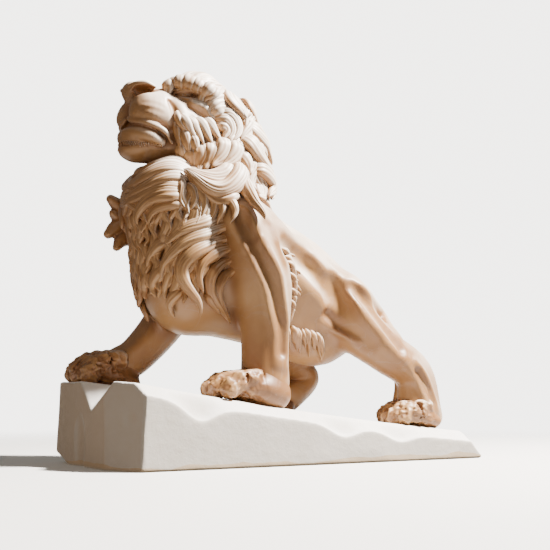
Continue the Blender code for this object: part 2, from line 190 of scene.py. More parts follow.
def rock_top(x, y):
    """Height of the rock's top: the crown, less the scalloped fall to each side and the thin nose."""
    near = sum(np.exp(-((x - ROCK_LENGTH * place) / SCALLOP_WIDTH) ** 2) for place in NEAR_SCALLOPS)
    far = sum(np.exp(-((x - ROCK_LENGTH * place) / SCALLOP_WIDTH) ** 2) for place in FAR_SCALLOPS)
    edge = ease((np.abs(y) - (ROCK_WIDTH / 2 - ROCK_SHOULDER)) / ROCK_SHOULDER)
    dips = np.where(y < 0, near, far) * rock_crown(x) / ROCK_HIGH_END
    height = rock_crown(x) - edge * (ROCK_EDGE_DROP + SCALLOP_DEPTH * dips)
    return ROCK_THIN_EDGE + (height - ROCK_THIN_EDGE) * ease((ROCK_LENGTH / 2 - x) / ROCK_NOSE)


def split(clay, through, *facings):
    """Splits off whatever lies beyond every one of some planes that meet at a point: facings are the ways
    that the bare faces look. One plane takes off a corner, two leave a notch."""
    x, y, z = whole(clay)
    distance = np.float32(-np.inf)
    for facing in facings:
        way = np.array(facing, float) / np.linalg.norm(facing)
        beyond = (x - through[0]) * way[0] + (y - through[1]) * way[1] + (z - through[2]) * way[2]
        distance = np.maximum(distance, -beyond)
    press(clay, ..., distance.astype(np.float32), SPLIT_EDGE, cut=True)


def carve_rock():
    """The rock: under the top, inside the four sides, split along a few planes, with scoops pressed in."""
    half_long, half_wide = ROCK_LENGTH / 2, ROCK_WIDTH / 2
    clay = clay_block((-half_long - 1.5, -half_wide - 1.5, -1.5),
                      (half_long + 1.5, half_wide + 1.5, ROCK_HIGH_END + 2), ROCK_GRAIN)
    x, y, z = whole(clay)
    wave = 0.30 * ripple((x, y, z), 17, 3)
    top = (z - rock_top(x, y)) * 0.92
    sides = np.maximum(np.abs(x) - half_long, np.abs(y) - half_wide) + 0.12 + np.abs(wave) * 0.8
    solid = -soft_min(-top, -sides, 0.3)
    clay["field"] = np.maximum(solid, -z + 0.02 + 0 * solid).astype(np.float32)
    left, near = -half_long, -half_wide
    planes = (
        ((left, near + 11.5, 0), (-0.93, -0.37, 0.05)),
        ((left, -near - 2.4, 0), (-0.80, 0.60, 0.05)),
        ((left + 2.2, -near, 2.0), (-0.62, 0.24, -0.75)),
    )
    for through, facing in planes:
        split(clay, through, facing)
    split(clay, (left, near + 19.8, 12.6), (-30, -46, 44.4), (-100, 44, 84))
    scoops = (
        ((left + 0.2, near + 3.4, 12.0), (3.4, 6.0, 5.2), 22),
        ((left - 14.9, 4.5, 5.0), (16.2, 11.0, 22.0), 0),
    )
    for centre, radii, turn in scoops:
        egg(clay, centre, radii, SPLIT_EDGE, turn=turn, cut=True)
    return clay


def stone_piece(name, points, quads, material, body="root", slot=None, replaces=(), **attributes):
    """A piece from points in shares and four-sided faces, shaded smooth, with a value for each point."""
    mesh = bpy.data.meshes.new(name)
    mesh.vertices.add(len(points))
    mesh.vertices.foreach_set("co", (np.asarray(points) * SHARE).astype(np.float32).ravel())
    mesh.loops.add(quads.size)
    mesh.loops.foreach_set("vertex_index", quads.astype(np.int32).ravel())
    mesh.polygons.add(len(quads))
    mesh.polygons.foreach_set("loop_start", np.arange(0, quads.size, quads.shape[1], dtype=np.int32))
    mesh.update(calc_edges=True)
    mesh.shade_smooth()
    for key, values in attributes.items():
        mesh.attributes.new(key, "FLOAT", "POINT").data.foreach_set("value", np.asarray(values, np.float32))
    mesh.materials.append(material)
    piece = bpy.data.objects.new(name, mesh)
    bpy.context.scene.collection.objects.link(piece)
    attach(piece, body)
    if replaces:
        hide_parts(*replaces)
    return piece


def linear(hex_colour):
    """An sRGB hex colour as a linear colour with alpha."""
    parts = [int(hex_colour[i:i + 2], 16) / 255 for i in (1, 3, 5)]
    return [p / 12.92 if p <= 0.04045 else ((p + 0.055) / 1.055) ** 2.4 for p in parts] + [1.0]


def add(tree, kind, inputs=None, out=0, stops=(), **settings):
    """Adds one node: its settings, a ramp's stops of (place, hex), and its inputs, by name or number, which
    are values or other nodes' outputs. Gives the output asked for."""
    made = tree.nodes.new(kind)
    for key, value in settings.items():
        setattr(made, key, value)
    for count, (place, colour) in enumerate(stops):
        points = made.color_ramp.elements
        point = points[count] if count < 2 else points.new(place)
        point.position = place
        point.color = linear(colour)
    for key, value in (inputs or {}).items():
        if isinstance(value, bpy.types.NodeSocket):
            tree.links.new(value, made.inputs[key])
        else:
            made.inputs[key].default_value = value
    return made.outputs[out]


# Widths of the white stone's patterns, in millimetres: weathered clouds, mottling, and pits from the point

ROCK_CLOUD = 312.5
ROCK_MOTTLE = 38.5
ROCK_PIT = 8.33


def hewn_marble():
    """White marble, split and point-tooled, and dull, with faint tan mottling. Painted shade makes the faces
    steeper than the top greyer and the -X end face tan, and a warm strip of painted bounce light runs along
    the foot. Its pits are drawn about 8 mm wide, because real ones, of 1 to 3 mm, wouldn't show."""
    material = bpy.data.materials.new("hewn_white_marble")
    material.use_nodes = True
    tree = material.node_tree
    shader = tree.nodes["Principled BSDF"]
    place = add(tree, "ShaderNodeTexCoord", out="Object")
    clouds, mottle, pits = (
        add(tree, "ShaderNodeTexNoise", {"Vector": place, "Scale": 1000 / width, "Detail": detail}, "Fac")
        for width, detail in ((ROCK_CLOUD, 6.0), (ROCK_MOTTLE, 5.0), (ROCK_PIT, 4.0)))
    white = add(tree, "ShaderNodeValToRGB", {"Fac": clouds}, "Color",
                ((0.30, "#E4E1DB"), (0.50, "#F0EEEA"), (0.72, "#F8F7F5")))
    normal = add(tree, "ShaderNodeNewGeometry", out="Normal")
    leftward = add(tree, "ShaderNodeSeparateXYZ", {"Vector": normal}, "X")
    upward = add(tree, "ShaderNodeSeparateXYZ", {"Vector": normal}, "Z")
    # painted shade: faces steeper than the top are painted greyer, as if less light fell on them
    painted_side_shade = add(tree, "ShaderNodeMapRange", {0: upward, 1: 0.72, 2: 0.34, 3: 0.0, 4: 0.85}, "Result")
    white = add(tree, "ShaderNodeMix", {0: painted_side_shade, 6: white, 7: linear("#BDB9B1")}, 2, data_type="RGBA")
    # painted shade: the end face that looks along -X, away from the key lamp, is painted tan
    painted_end_shade = add(tree, "ShaderNodeMapRange", {0: leftward, 1: -0.90, 2: -0.985, 3: 0.25, 4: 1.0}, "Result")
    stone = add(tree, "ShaderNodeMix", {0: painted_end_shade, 6: white, 7: linear("#B9A793")}, 2, data_type="RGBA")
    # painted light: warm light bounced from the ground is painted as a tan strip along the rock's foot, with
    # a wavy top
    height = add(tree, "ShaderNodeSeparateXYZ", {"Vector": place}, "Z")
    wavy = add(tree, "ShaderNodeMath", {0: clouds, 1: 0.09, 2: -0.022}, operation="MULTIPLY_ADD")
    below = add(tree, "ShaderNodeMath", {0: height, 1: wavy}, operation="LESS_THAN")
    painted_bounce_strip = add(tree, "ShaderNodeMath", {0: below, 1: 0.6}, operation="MULTIPLY")
    stone = add(tree, "ShaderNodeMix", {0: painted_bounce_strip, 6: stone, 7: linear("#B39466")}, 2, data_type="RGBA")
    stain = add(tree, "ShaderNodeMapRange", {0: mottle, 1: 0.42, 2: 0.8, 3: 0.0, 4: 0.16}, "Result")
    stone = add(tree, "ShaderNodeMix", {0: stain, 6: stone, 7: linear("#B7A68C")}, 2, data_type="RGBA")
    tree.links.new(stone, shader.inputs["Base Color"])
    rough = add(tree, "ShaderNodeMapRange", {0: mottle, 3: 0.62, 4: 0.86}, "Result")
    tree.links.new(rough, shader.inputs["Roughness"])
    relief = add(tree, "ShaderNodeMath", {0: pits, 1: 0.3, 2: mottle}, operation="MULTIPLY_ADD")
    bump = add(tree, "ShaderNodeBump", {"Height": relief, "Strength": 0.35, "Distance": 0.006}, "Normal")
    tree.links.new(bump, shader.inputs["Normal"])
    return material


rock_points, rock_quads = draw_skin(carve_rock())
stone_piece("rock_block", rock_points, rock_quads, hewn_marble(), slot="white_marble",
            replaces=("rock_base",))


# The lion's body
# The smooth masses of the carving: barrel, neck, shoulders, haunches, legs and tail, honed with rasps until
# the muscles run into each other. It is one stone with the head, the paws and the mane that follow.

BODY_GRAIN = 0.46
LIMB_STEPS = 5


def smooth_curve(places, steps):
    """A curve through the given places (Catmull-Rom), with steps points from each to the next."""
    places = np.asarray(places, float)
    ends = np.vstack([2 * places[0] - places[1], places, 2 * places[-1] - places[-2]])
    along = np.linspace(0, 1, steps, endpoint=False)[None, :, None]
    a, b, c, d = (ends[i:len(ends) - 3 + i, None, :] for i in range(4))
    curve = 0.5 * (2 * b + (c - a) * along + (2 * a - 5 * b + 4 * c - d) * along ** 2
                   + (3 * b - a - 3 * c + d) * along ** 3)
    return np.vstack([curve.reshape(-1, places.shape[1]), places[-1:]])


def limb(clay, stations, blend=1.5, flat=1.0, cut=False):
    """A limb through stations (x, y, z, radius): the least distance to the cones between them."""
    places = smooth_curve(stations, LIMB_STEPS)
    reach = places[:, 3].max() * max(1.0, flat) + FAR
    slices, (x, y, z) = window(clay, places[:, :3].min(0) - reach, places[:, :3].max(0) + reach)
    nearest = np.float32(np.inf)
    for (ax, ay, az, first), (bx, by, bz, last) in zip(places, places[1:]):
        run_x, run_y, run_z = bx - ax, (by - ay) / flat, bz - az
        length = run_x ** 2 + run_y ** 2 + run_z ** 2
        dx, dy, dz = x - ax, (y - ay) / flat, z - az
        share = np.clip((dx * run_x + dy * run_y + dz * run_z) / length, 0, 1)
        gap = np.sqrt((dx - share * run_x) ** 2 + (dy - share * run_y) ** 2 + (dz - share * run_z) ** 2)
        nearest = np.minimum(nearest, gap - (first + share * (last - first)))
    press(clay, slices, nearest.astype(np.float32), blend, cut)


def sample(clay, places):
    """The block's distance at any places, read between its grid points."""
    field = clay["field"]
    spot = np.clip((places - clay["low"]) / clay["grain"], 0, np.array(field.shape) - 1.001)
    cell = spot.astype(int)
    share = spot - cell
    total = 0.0
    for corner in np.ndindex(2, 2, 2):
        weight = np.prod(np.where(corner, share, 1 - share), axis=1)
        total = total + weight * field[tuple((cell + corner).T)]
    return total


def outside(clay, places):
    """Which places lie outside the block."""
    spot = (places - clay["low"]) / clay["grain"]
    return ((spot < 0) | (spot > np.array(clay["field"].shape) - 1.001)).any(axis=1)


def slope(clay, places):
    """The direction in which the block's distance grows fastest: the surface's outward normal."""
    step = clay["grain"]
    parts = [sample(clay, places + offset) - sample(clay, places - offset) for offset in np.eye(3) * step]
    normal = np.stack(parts, axis=1)
    return normal / np.maximum(np.linalg.norm(normal, axis=1, keepdims=True), 1e-6)


# The near side's muscles and locks are laid out in the camera's picture, which is 550 pixels wide. The
# camera's place is in degrees and shares, and a line of sight is followed between two distances from it.

CAMERA_AZIMUTH = -32.0
CAMERA_DISTANCE = 254.4
CAMERA_HEIGHT = 16.0
PICTURE_SIDE = 550
FOCAL_PIXELS = 960
HORIZON_BELOW_MIDDLE = 123
SIGHT_START = 170.0
SIGHT_END = 330.0
SIGHT_TOUCH = 0.02
ROOT_GROW = 0.3


def camera_frame():
    """The camera's place, and the ways it looks, to its right and up."""
    angle = math.radians(CAMERA_AZIMUTH)
    pitch = math.atan(HORIZON_BELOW_MIDDLE / FOCAL_PIXELS)
    away = np.array([math.sin(angle), -math.cos(angle), 0])
    look = -away * math.cos(pitch) + np.array([0, 0, math.sin(pitch)])
    right = np.array([math.cos(angle), math.sin(angle), 0])
    return away * CAMERA_DISTANCE + np.array([0, 0, CAMERA_HEIGHT]), look, right, np.cross(right, look)


def touch(clays, spots, grows):
    """Where the camera's line of sight through each picture spot (across, down) first comes within its grow
    of the clay, to a tenth of a share, or where it passes nearest. Each step is 0.7 of the gap still left."""
    eye, look, right, up = camera_frame()
    across, down = (np.array(spots, float) - PICTURE_SIDE / 2).T[:, :, None] / FOCAL_PIXELS
    lines = look + across * right - down * up
    lines /= np.linalg.norm(lines, axis=1, keepdims=True)
    far = np.full(len(lines), SIGHT_START)
    nearest, best = np.full(len(lines), np.inf), far.copy()
    while (far[nearest >= SIGHT_TOUCH] < SIGHT_END).any():
        places = eye + lines * far[:, None]
        gap = np.min([np.where(outside(clay, places), FAR, sample(clay, places)) for clay in clays], axis=0)
        gap = np.where(gap > FAR - 0.05, 3 * FAR, gap - grows)
        walking = nearest >= SIGHT_TOUCH
        closer = walking & (gap < nearest)
        nearest, best = np.where(closer, gap, nearest), np.where(closer, far, best)
        far = np.where(walking, far + np.clip(0.7 * gap, 0.05, 1.5), far)
    return np.round(eye + lines * best[:, None], 1)


def muscles(clay, table, side):
    """Limbs along the muscles of a table. Each spot is laid on the clay, and the limb's centre is sunk below
    the surface (side -1) or raised above it (side 1), so that it stands out, or cuts in, by proud."""
    made = []
    for spots, blend in table:
        across, down, radii, proud = np.array(spots, float).T
        places = touch([clay], np.stack([across, down], axis=1), 0)
        out = slope(clay, places)
        places = places - out * sample(clay, places)[:, None] + side * out * (radii - proud)[:, None]
        made.append((np.column_stack([places, radii]), blend))
    return made


# Muscles and tendons of the near side, and the valleys between them: each row has its spots in the picture
# (across, down, radius, proud) and a blend

NEAR_CORDS = (
    ([(226, 204, 2.2, 0.5), (231, 216, 2.8, 1.1), (237, 229, 2.4, 0.9), (245, 246, 1.4, 0.3)], 1.6),
    ([(246, 214, 2.2, 0.6), (252, 223, 2.6, 1.3), (258, 236, 1.6, 0.4)], 1.4),
    ([(249, 246, 1.8, 0.5), (258, 264, 1.9, 0.9), (265, 282, 1.7, 0.8), (269, 300, 1.5, 0.7),
      (274, 324, 1.4, 0.6), (277, 344, 1.4, 0.5), (278, 364, 1.4, 0.4)], 1.3),
    ([(261, 240, 1.9, 0.5), (275, 264, 2.1, 0.9), (281, 292, 1.8, 0.8), (285, 320, 1.6, 0.7),
      (285, 344, 1.5, 0.6), (285, 366, 1.5, 0.4)], 1.4),
    ([(283, 232, 3, 0.6), (298, 246, 3.2, 0.9), (315, 262, 3, 0.9), (329, 275, 2.4, 0.6)], 2.5),
    ([(295, 268, 4, 0.6), (310, 284, 4.6, 0.9), (325, 302, 4, 0.8), (338, 318, 3, 0.5)], 3),
    ([(322, 322, 1.4, 0.5), (335, 328, 1.5, 0.8), (348, 334, 1.4, 0.8), (360, 342, 1.2, 0.5)], 1.2),
    ([(330, 271, 2, 0.6), (342, 282, 2.2, 0.9), (352, 295, 2.2, 1), (367, 318, 2.2, 1), (385, 340, 2, 0.9),
      (401, 360, 1.6, 0.8), (419, 381, 1.2, 0.5)], 1.2),
    ([(352, 282, 2.4, 0.5), (367, 293, 2.8, 0.9), (382, 312, 2.8, 0.9), (398, 336, 2, 0.4)], 1.5),
    ([(384, 345, 1.8, 0.5), (396, 352, 2.4, 0.9), (408, 362, 1.8, 0.4)], 1.2),
    ([(415, 362, 1.4, 0.6), (423, 376, 1.4, 0.8), (431, 394, 1.4, 0.7), (438, 410, 1.2, 0.3)], 1),
    ([(420, 384, 1.2, 0.5), (425, 396, 1.2, 0.6), (427, 406, 1.2, 0.4)], 1),
)

NEAR_VALLEYS = (
    ([(253, 246, 1.5, 0.3), (262, 262, 1.6, 0.5), (272, 284, 1.6, 0.55), (277, 306, 1.4, 0.5),
      (281, 328, 1.2, 0.4), (281, 352, 1, 0.3)], 1.6),
    ([(240, 214, 1.4, 0.3), (244, 224, 1.5, 0.6), (250, 238, 1.4, 0.35)], 1.5),
    ([(285, 248, 2.2, 0.5), (300, 262, 2.6, 1), (315, 277, 2.6, 1), (327, 291, 2, 0.6)], 2.5),
    ([(326, 314, 1.3, 0.3), (340, 325, 1.4, 0.5), (354, 334, 1.2, 0.3)], 1.4),
    ([(352, 288, 1.6, 0.3), (368, 306, 1.8, 0.6), (386, 330, 1.7, 0.55), (400, 349, 1.3, 0.3)], 1.8),
    ([(332, 284, 2.4, 0.4), (341, 305, 3, 0.8), (352, 326, 2.4, 0.5), (368, 344, 1.8, 0.3)], 2.4),
    ([(268, 226, 1.6, 0.3), (276, 246, 1.8, 0.5), (284, 266, 1.6, 0.35)], 1.8),
    ([(418, 372, 1.2, 0.3), (427, 388, 1.3, 0.5), (433, 402, 1.1, 0.3)], 1.2),
)


def carve_body():
    """The body: trunk, neck, four legs and tail, each a limb or two, with the muscles laid over them."""
    clay = clay_block((-46, -23, 5), (49, 23, 101), BODY_GRAIN)
    trunk = (
        ([(-15, 0, 50, 16.0), (-6, 0, 48, 15.4), (3, 0, 45.5, 14.2)], 3, 0.78),
        ([(3, 0, 45.5, 14.2), (12, 0, 43.2, 11.8), (20, 0, 40.2, 9.4), (29, 0, 35.0, 6.6)], 3, 0.86),
        ([(0, 0, 38, 10.0), (12, 0, 34.5, 9.9), (18.5, 0, 35.5, 7.2)], 4, 0.85),
        ([(-24, 0, 46, 13.5), (-10, 0, 45, 14.5)], 3, 0.85),
        ([(-8, 0, 60, 7.5), (7, 0, 51.5, 6.0), (20, 0, 45.0, 4.5)], 4, 0.7),
        ([(-14, 0, 62, 10.6), (-16, 0, 76, 10.6), (-19.5, 0, 84.5, 10.4)], 3, 1.05),
        ([(-28.5, 0, 64, 12.6), (-26.5, 0, 52, 12.0), (-25.6, 0, 42.5, 10.4)], 3, 1.04),
        ([(-20, 0, 68, 12.0), (-27.0, 0, 63.5, 11.4)], 3, 1.08),
        ([(-25.0, 0, 89.6, 6.6), (-19.5, 0, 88.6, 7.6)], 3, 1.2),
    )
    legs = (
        ([(-17.4, -12.3, 59.8, 6.4), (-14.0, -13.6, 50, 7.2), (-11.6, -13.6, 39.5, 6.6),
          (-11.4, -13.4, 29, 5.8), (-11.2, -13.3, 20, 6.0)], 3, 1),
        ([(-12, -8, 56, 8.5), (-11, -10, 44, 7.0)], 4, 1),
        ([(-18, 11.0, 58, 7.5), (-21.5, 12.0, 46, 6.8), (-26.0, 12.8, 36, 5.6), (-33.4, 13.3, 27.3, 4.8),
          (-38.5, 13.6, 24.0, 4.8)], 3, 1),
        ([(17.2, -6.8, 42.6, 7.0), (20.0, -9.3, 34.8, 6.6), (28.0, -11.3, 28.2, 5.5),
          (36.4, -12.3, 22.2, 4.9), (37.6, -12.6, 12.5, 5.4)], 3, 1),
        ([(21, -5.5, 38.5, 5.4), (29.8, -8.5, 30.5, 4.3), (39.2, -11.7, 23.6, 3.4),
          (42.2, -12.5, 11.0, 3.5)], 2, 1),
        ([(22, 7, 40, 8.0), (14, 11.5, 32.5, 7.0), (8.5, 12.5, 29, 5.6)], 3, 1),
        ([(8.5, 12.5, 29, 5.2), (14.5, 12.4, 24.6, 4.2), (18.0, 12.3, 21.4, 3.7), (13.0, 12.3, 17.0, 4.0),
          (6.5, 12.3, 13.5, 4.6)], 2, 1),
        ([(32, 0, 38.5, 3.0), (38.5, -1, 31, 2.4), (40.5, -3, 21, 2.2), (38.2, -4, 13.0, 2.0)], 2, 1),
    )
    for stations, blend, flat in trunk + legs:
        limb(clay, stations, blend, flat)
    far_cords = (
        ([(16.5, 11.5, 44.0, 3.0), (13.0, 15.5, 36.5, 3.2), (9.5, 16.4, 30.5, 2.0)], 2.4),
        ([(24.0, 8.5, 43.5, 3.0), (21.0, 13.0, 36.5, 3.2), (16.5, 14.8, 29.0, 1.8)], 2.4),
        ([(0, 8.5, 56, 2.4), (9, 8.0, 49.5, 2.2), (17, 7.2, 46.0, 2.0)], 3.0),
        ([(8, 9.0, 34, 1.6), (14, 9.4, 33.4, 1.8), (20, 9.2, 31.2, 1.6)], 2.4),
        ([(-18.5, 16.2, 60.0, 2.4), (-19.5, 17.8, 53.0, 3.0), (-22.5, 17.4, 44.0, 2.4),
          (-27.0, 16.6, 35.0, 1.6)], 2.0),
        ([(-13.5, 14.6, 58.0, 2.2), (-13.8, 16.4, 51.0, 2.6), (-18.0, 16.6, 42.0, 1.8)], 1.8),
        ([(-24.0, 14.0, 42.0, 2.0), (-30.0, 13.2, 33.5, 1.8), (-36.0, 12.6, 27.0, 1.2)], 1.6),
        ([(-27.5, 9.6, 37.0, 1.6), (-33.5, 9.8, 30.0, 1.5), (-38.0, 10.2, 26.4, 1.1)], 1.4),
    )
    far_tufts = (
        ([(-34, 14, 63.5, 2.2), (-39.0, 13.8, 65.4, 2.0), (-41.8, 13.2, 67.0, 1.2)], 0.4),
        ([(-34, 14, 61.5, 2.3), (-39.5, 13.8, 62.6, 1.6), (-41.2, 13.2, 63.4, 1.0)], 0.4),
        ([(-34, 14, 60.0, 2.3), (-39.2, 13.8, 60.0, 2.2), (-42.2, 13.2, 57.8, 1.3)], 0.4),
        ([(-34, 13, 58.0, 2.3), (-38.4, 12.8, 56.6, 1.9), (-40.2, 12.4, 54.4, 1.1)], 0.4),
    )
    near_cords, near_valleys = muscles(clay, NEAR_CORDS, -1), muscles(clay, NEAR_VALLEYS, 1)
    for stations, blend in (*near_cords, *far_cords, *far_tufts):
        limb(clay, stations, blend)
    for stations, blend in near_valleys:
        limb(clay, stations, blend, cut=True)
    return clay


def stand_on_rock(clay):
    """Cuts the clay off flat where it meets the rock's top."""
    x, y, z = whole(clay)
    clay["field"] = np.maximum(clay["field"], (rock_top(x, y) - z + 0.02).astype(np.float32))


def recess_of(clay, points, depth=1.0):
    """How sunk each point lies: 0 on an open surface, towards 1 where the clay closes round it. It compares
    the free distance at three places straight out from the point with how far out they are."""
    out = slope(clay, points)
    places_out = (depth * 0.8, depth * 1.8, min(depth * 3, 2.8))
    hidden = [1 - sample(clay, points + out * far) / far for far in places_out]
    return np.clip(sum(hidden) * 0.75, 0, 1)


# Widths of the cream stone's patterns, in millimetres: clouds of staining, veins, and the speck

CREAM_CLOUD = 384.6
CREAM_VEIN = 222.2
CREAM_SPECK = 26.3


def honed_marble():
    """Cream marble, honed with rasps and grit, with a soft gloss, faint grey veins and a fine speck. Its
    colour wanders at random between pale cream and ochre, and painted light decides the rest: faces that look
    up or towards +X, and the higher parts, are painted paler, faces that look away are painted ochre, and
    painted shade turns hollows ochre and dark brown. The speck is drawn about 26 mm wide, because the stone's
    own crystals, of 1 to 2 mm, wouldn't show."""
    material = bpy.data.materials.new("honed_cream_marble")
    material.use_nodes = True
    tree = material.node_tree
    shader = tree.nodes["Principled BSDF"]
    place = add(tree, "ShaderNodeTexCoord", out="Object")
    clouds = add(tree, "ShaderNodeTexNoise",
                 {"Vector": place, "Scale": 1000 / CREAM_CLOUD, "Detail": 5.0, "Distortion": 0.6}, "Fac")
    grain = add(tree, "ShaderNodeTexNoise",
                {"Vector": place, "Scale": 1000 / CREAM_SPECK, "Detail": 6.0}, "Fac")
    pale = add(tree, "ShaderNodeValToRGB", {"Fac": clouds}, "Color",
               ((0.30, "#E6D9C6"), (0.52, "#F0E8DC"), (0.74, "#F6F2EC")))
    ochre = add(tree, "ShaderNodeValToRGB", {"Fac": clouds}, "Color",
                ((0.28, "#8A5E34"), (0.52, "#A47A4B"), (0.76, "#C29B6C")))
    normal = add(tree, "ShaderNodeNewGeometry", out="Normal")
    upward = add(tree, "ShaderNodeSeparateXYZ", {"Vector": normal}, "Z")
    backward = add(tree, "ShaderNodeSeparateXYZ", {"Vector": normal}, "X")
    # painted light: surfaces that face up or towards +X, the key lamp's side, and the higher parts are
    # painted paler; those facing away are painted ochre
    lean = add(tree, "ShaderNodeMath", {0: upward, 1: 0.52, 2: -0.42}, operation="MULTIPLY_ADD")
    lean = add(tree, "ShaderNodeMath", {0: backward, 1: 0.80, 2: lean}, operation="MULTIPLY_ADD")
    height = add(tree, "ShaderNodeSeparateXYZ", {"Vector": place}, "Z")
    high = add(tree, "ShaderNodeMapRange", {0: height, 1: 0.75, 2: 1.6, 3: 0.0, 4: 0.68}, "Result")
    lean = add(tree, "ShaderNodeMath", {0: high, 1: lean}, operation="ADD")
    # the clouds add the stone's random tone to the painted light
    tone_and_painted_light = add(tree, "ShaderNodeMath", {0: clouds, 1: 1.0, 2: lean}, operation="MULTIPLY_ADD",
                 use_clamp=True)
    recess = add(tree, "ShaderNodeAttribute", out="Fac", attribute_name="recess")
    # painted shade: where the clay closes round a point the stone is painted more ochre
    tone_and_painted_light = add(tree, "ShaderNodeMath", {0: recess, 1: -0.75, 2: tone_and_painted_light}, operation="MULTIPLY_ADD",
                 use_clamp=True)
    stone = add(tree, "ShaderNodeMix", {0: tone_and_painted_light, 6: ochre, 7: pale}, 2, data_type="RGBA")
    # painted shade: the same value mixes in dark brown in the hollows
    sunk = add(tree, "ShaderNodeMath", {0: recess, 1: 0.78}, operation="MULTIPLY")
    stone = add(tree, "ShaderNodeMix", {0: sunk, 6: stone, 7: linear("#6B4222")}, 2, data_type="RGBA")
    veins = add(tree, "ShaderNodeTexNoise",
                {"Vector": place, "Scale": 1000 / CREAM_VEIN, "Detail": 4.0, "Distortion": 1.8}, "Fac")
    vein = add(tree, "ShaderNodeMath", {0: veins, 1: 0.5, 2: 0.012}, operation="COMPARE")
    vein = add(tree, "ShaderNodeMath", {0: vein, 1: 0.15}, operation="MULTIPLY")
    stone = add(tree, "ShaderNodeMix", {0: vein, 6: stone, 7: linear("#A08A78")}, 2, data_type="RGBA")
    speck = add(tree, "ShaderNodeMath", {0: grain, 1: 0.14}, operation="MULTIPLY")
    stone = add(tree, "ShaderNodeMix", {0: speck, 6: stone, 7: linear("#A9835A")}, 2, data_type="RGBA")
    tree.links.new(stone, shader.inputs["Base Color"])
    rough = add(tree, "ShaderNodeMapRange", {0: grain, 3: 0.34, 4: 0.58}, "Result")
    tree.links.new(rough, shader.inputs["Roughness"])
    bump = add(tree, "ShaderNodeBump", {"Height": grain, "Strength": 0.12, "Distance": 0.002}, "Normal")
    tree.links.new(bump, shader.inputs["Normal"])
    return material


CREAM = honed_marble()
body_clay = carve_body()
stand_on_rock(body_clay)
body_points, body_quads = draw_skin(body_clay)
# painted shade: each point's value is high where the clay closes round it, and the stone is painted darker
# there
stone_piece("body", body_points, body_quads, CREAM, slot="cream_marble", replaces=("lion",),
            recess=recess_of(body_clay, body_points))


# The four paws
# Each paw is part of the same stone, honed at the heel; in front the toes were left from the point and claw
# chisel, with deep cracks between them. Painted shade darkens the cracks, and the whole paw is painted a
# little darker.

PAW_GRAIN = 0.27
TOES = 4
PAW_PLACES = {
    "near_fore": (-6.0, -28.0, -13.0, 6.7, 5.0, 8.6),
    "far_fore": (-33.0, -51.9, 13.7, 6.3, 6.0, 6.4),
    "near_hind": (43.6, 25.6, -12.6, 6.1, 4.8, 5.6),
    "far_hind": (12.5, -6.0, 12.3, 5.9, 4.6, 5.2),
}
ANKLES = {
    "near_fore": [(-11.4, -13.4, 27, 5.4), (-11.4, -13.3, 18, 5.7)],
    "far_fore": [(-33.4, 13.3, 27.3, 4.6), (-38.5, 13.6, 23.6, 4.6)],
    "near_hind": [(36.9, -12.4, 19.5, 4.6), (37.4, -12.6, 13.0, 4.8)],
    "far_hind": [(13.0, 12.3, 17.0, 3.8), (7.5, 12.3, 13.8, 4.2)],
}


def carve_paw(ankle, heel, toe, y, half_width, front_tall, back_tall, seed):
    """One paw: a broad wedge of a foot, four toes that arch forward, cracks between and across them, and
    upright tool marks that grow towards the front. Lengths run along X from heel to toe."""
    low, high = float(rock_top(heel, y)), float(rock_top(toe, y))
    tallest = max(low + back_tall, high + front_tall)
    clay = clay_block((toe - 3.5, y - half_width - 4.5, min(low, high) - 2),
                      (heel + 4.5, y + half_width + 4.5, tallest + 6), PAW_GRAIN)
    long = heel - toe
    limb(clay, ankle, 2)
    limb(clay, [(heel - 3.2, y, low + back_tall * 0.40, back_tall * 0.42),
                (heel - long * 0.40, y, (low + high) / 2 + back_tall * 0.42, back_tall * 0.46),
                (toe + 7.0, y, high + front_tall * 0.52, front_tall * 0.56)], 2.0,
         flat=half_width / back_tall / 0.43)
    for index in range(TOES):
        across = (index - 1.5) / 1.5
        side, back = y + across * half_width * 0.70, 1.6 * across ** 2
        limb(clay, [(toe + 10 + back, side, high + front_tall * 0.9, front_tall * 0.42),
                    (toe + 5.6 + back, side, high + front_tall * 0.74, front_tall * 0.46),
                    (toe + 2.6 + back, side, high + front_tall * 0.36, front_tall * 0.44)], 0.5)
    for index in range(TOES - 1):
        side = y + (index - 1) * half_width * 0.47
        limb(clay, [(toe + 10, side, high + front_tall * 1.55, 0.3),
                    (toe + 5.0, side, high + front_tall * 1.3, 0.6),
                    (toe + 1.2, side, high + front_tall * 0.6, 0.8), (toe + 0.4, side, high - 1, 0.8)],
             0.35, cut=True)
    for side in (-1, 1):
        for place, deep in ((4.4, 0.5), (8.2, 0.6), (13.2, 0.5)):
            bow = 0.6 * math.sin(seed + place)
            edge = y + side * half_width
            middle = y + side * half_width * 0.55
            limb(clay, [(toe + place + bow, middle, high + front_tall * 1.3, deep * 0.6),
                        (toe + place - bow, edge + side * 0.6, high + front_tall * 0.7, deep),
                        (toe + place + bow, edge + side * 0.9, high - 1.5, deep)], 0.3, cut=True)
    x, sideways, z = whole(clay)
    front = ease((toe + 15.0 - x) / 7) * ease((high + front_tall * 1.5 - z) / 2)
    claw_marks = 0.34 * ripple((x * 1.1, sideways * 1.8, z * 0.7), 2.6, seed)
    point_marks = 0.18 * ripple((x, sideways, z * 1.2), 1.2, seed + 1)
    clay["field"] = (clay["field"] + front * (claw_marks + point_marks - 0.1)).astype(np.float32)
    stand_on_rock(clay)
    return clay


for seed, (name, sizes) in enumerate(PAW_PLACES.items()):
    paw_clay = carve_paw(ANKLES[name], *sizes, seed * 10)
    paw_points, paw_quads = draw_skin(paw_clay)
    # painted shade: dark in the cracks between the toes, plus a fixed 0.22 that paints the whole paw darker
    stone_piece("paw_" + name, paw_points, paw_quads, CREAM, slot="cream_marble",
                recess=np.minimum(recess_of(paw_clay, paw_points, 0.7) * 1.6 + 0.22, 1))


# The head
# The face is the most finished part: the planes of nose, muzzle, cheeks and brow are honed, and the lips,
# nostrils and eyes are cut in with a small chisel. It looks up, with the mouth closed.

HEAD_GRAIN = 0.24


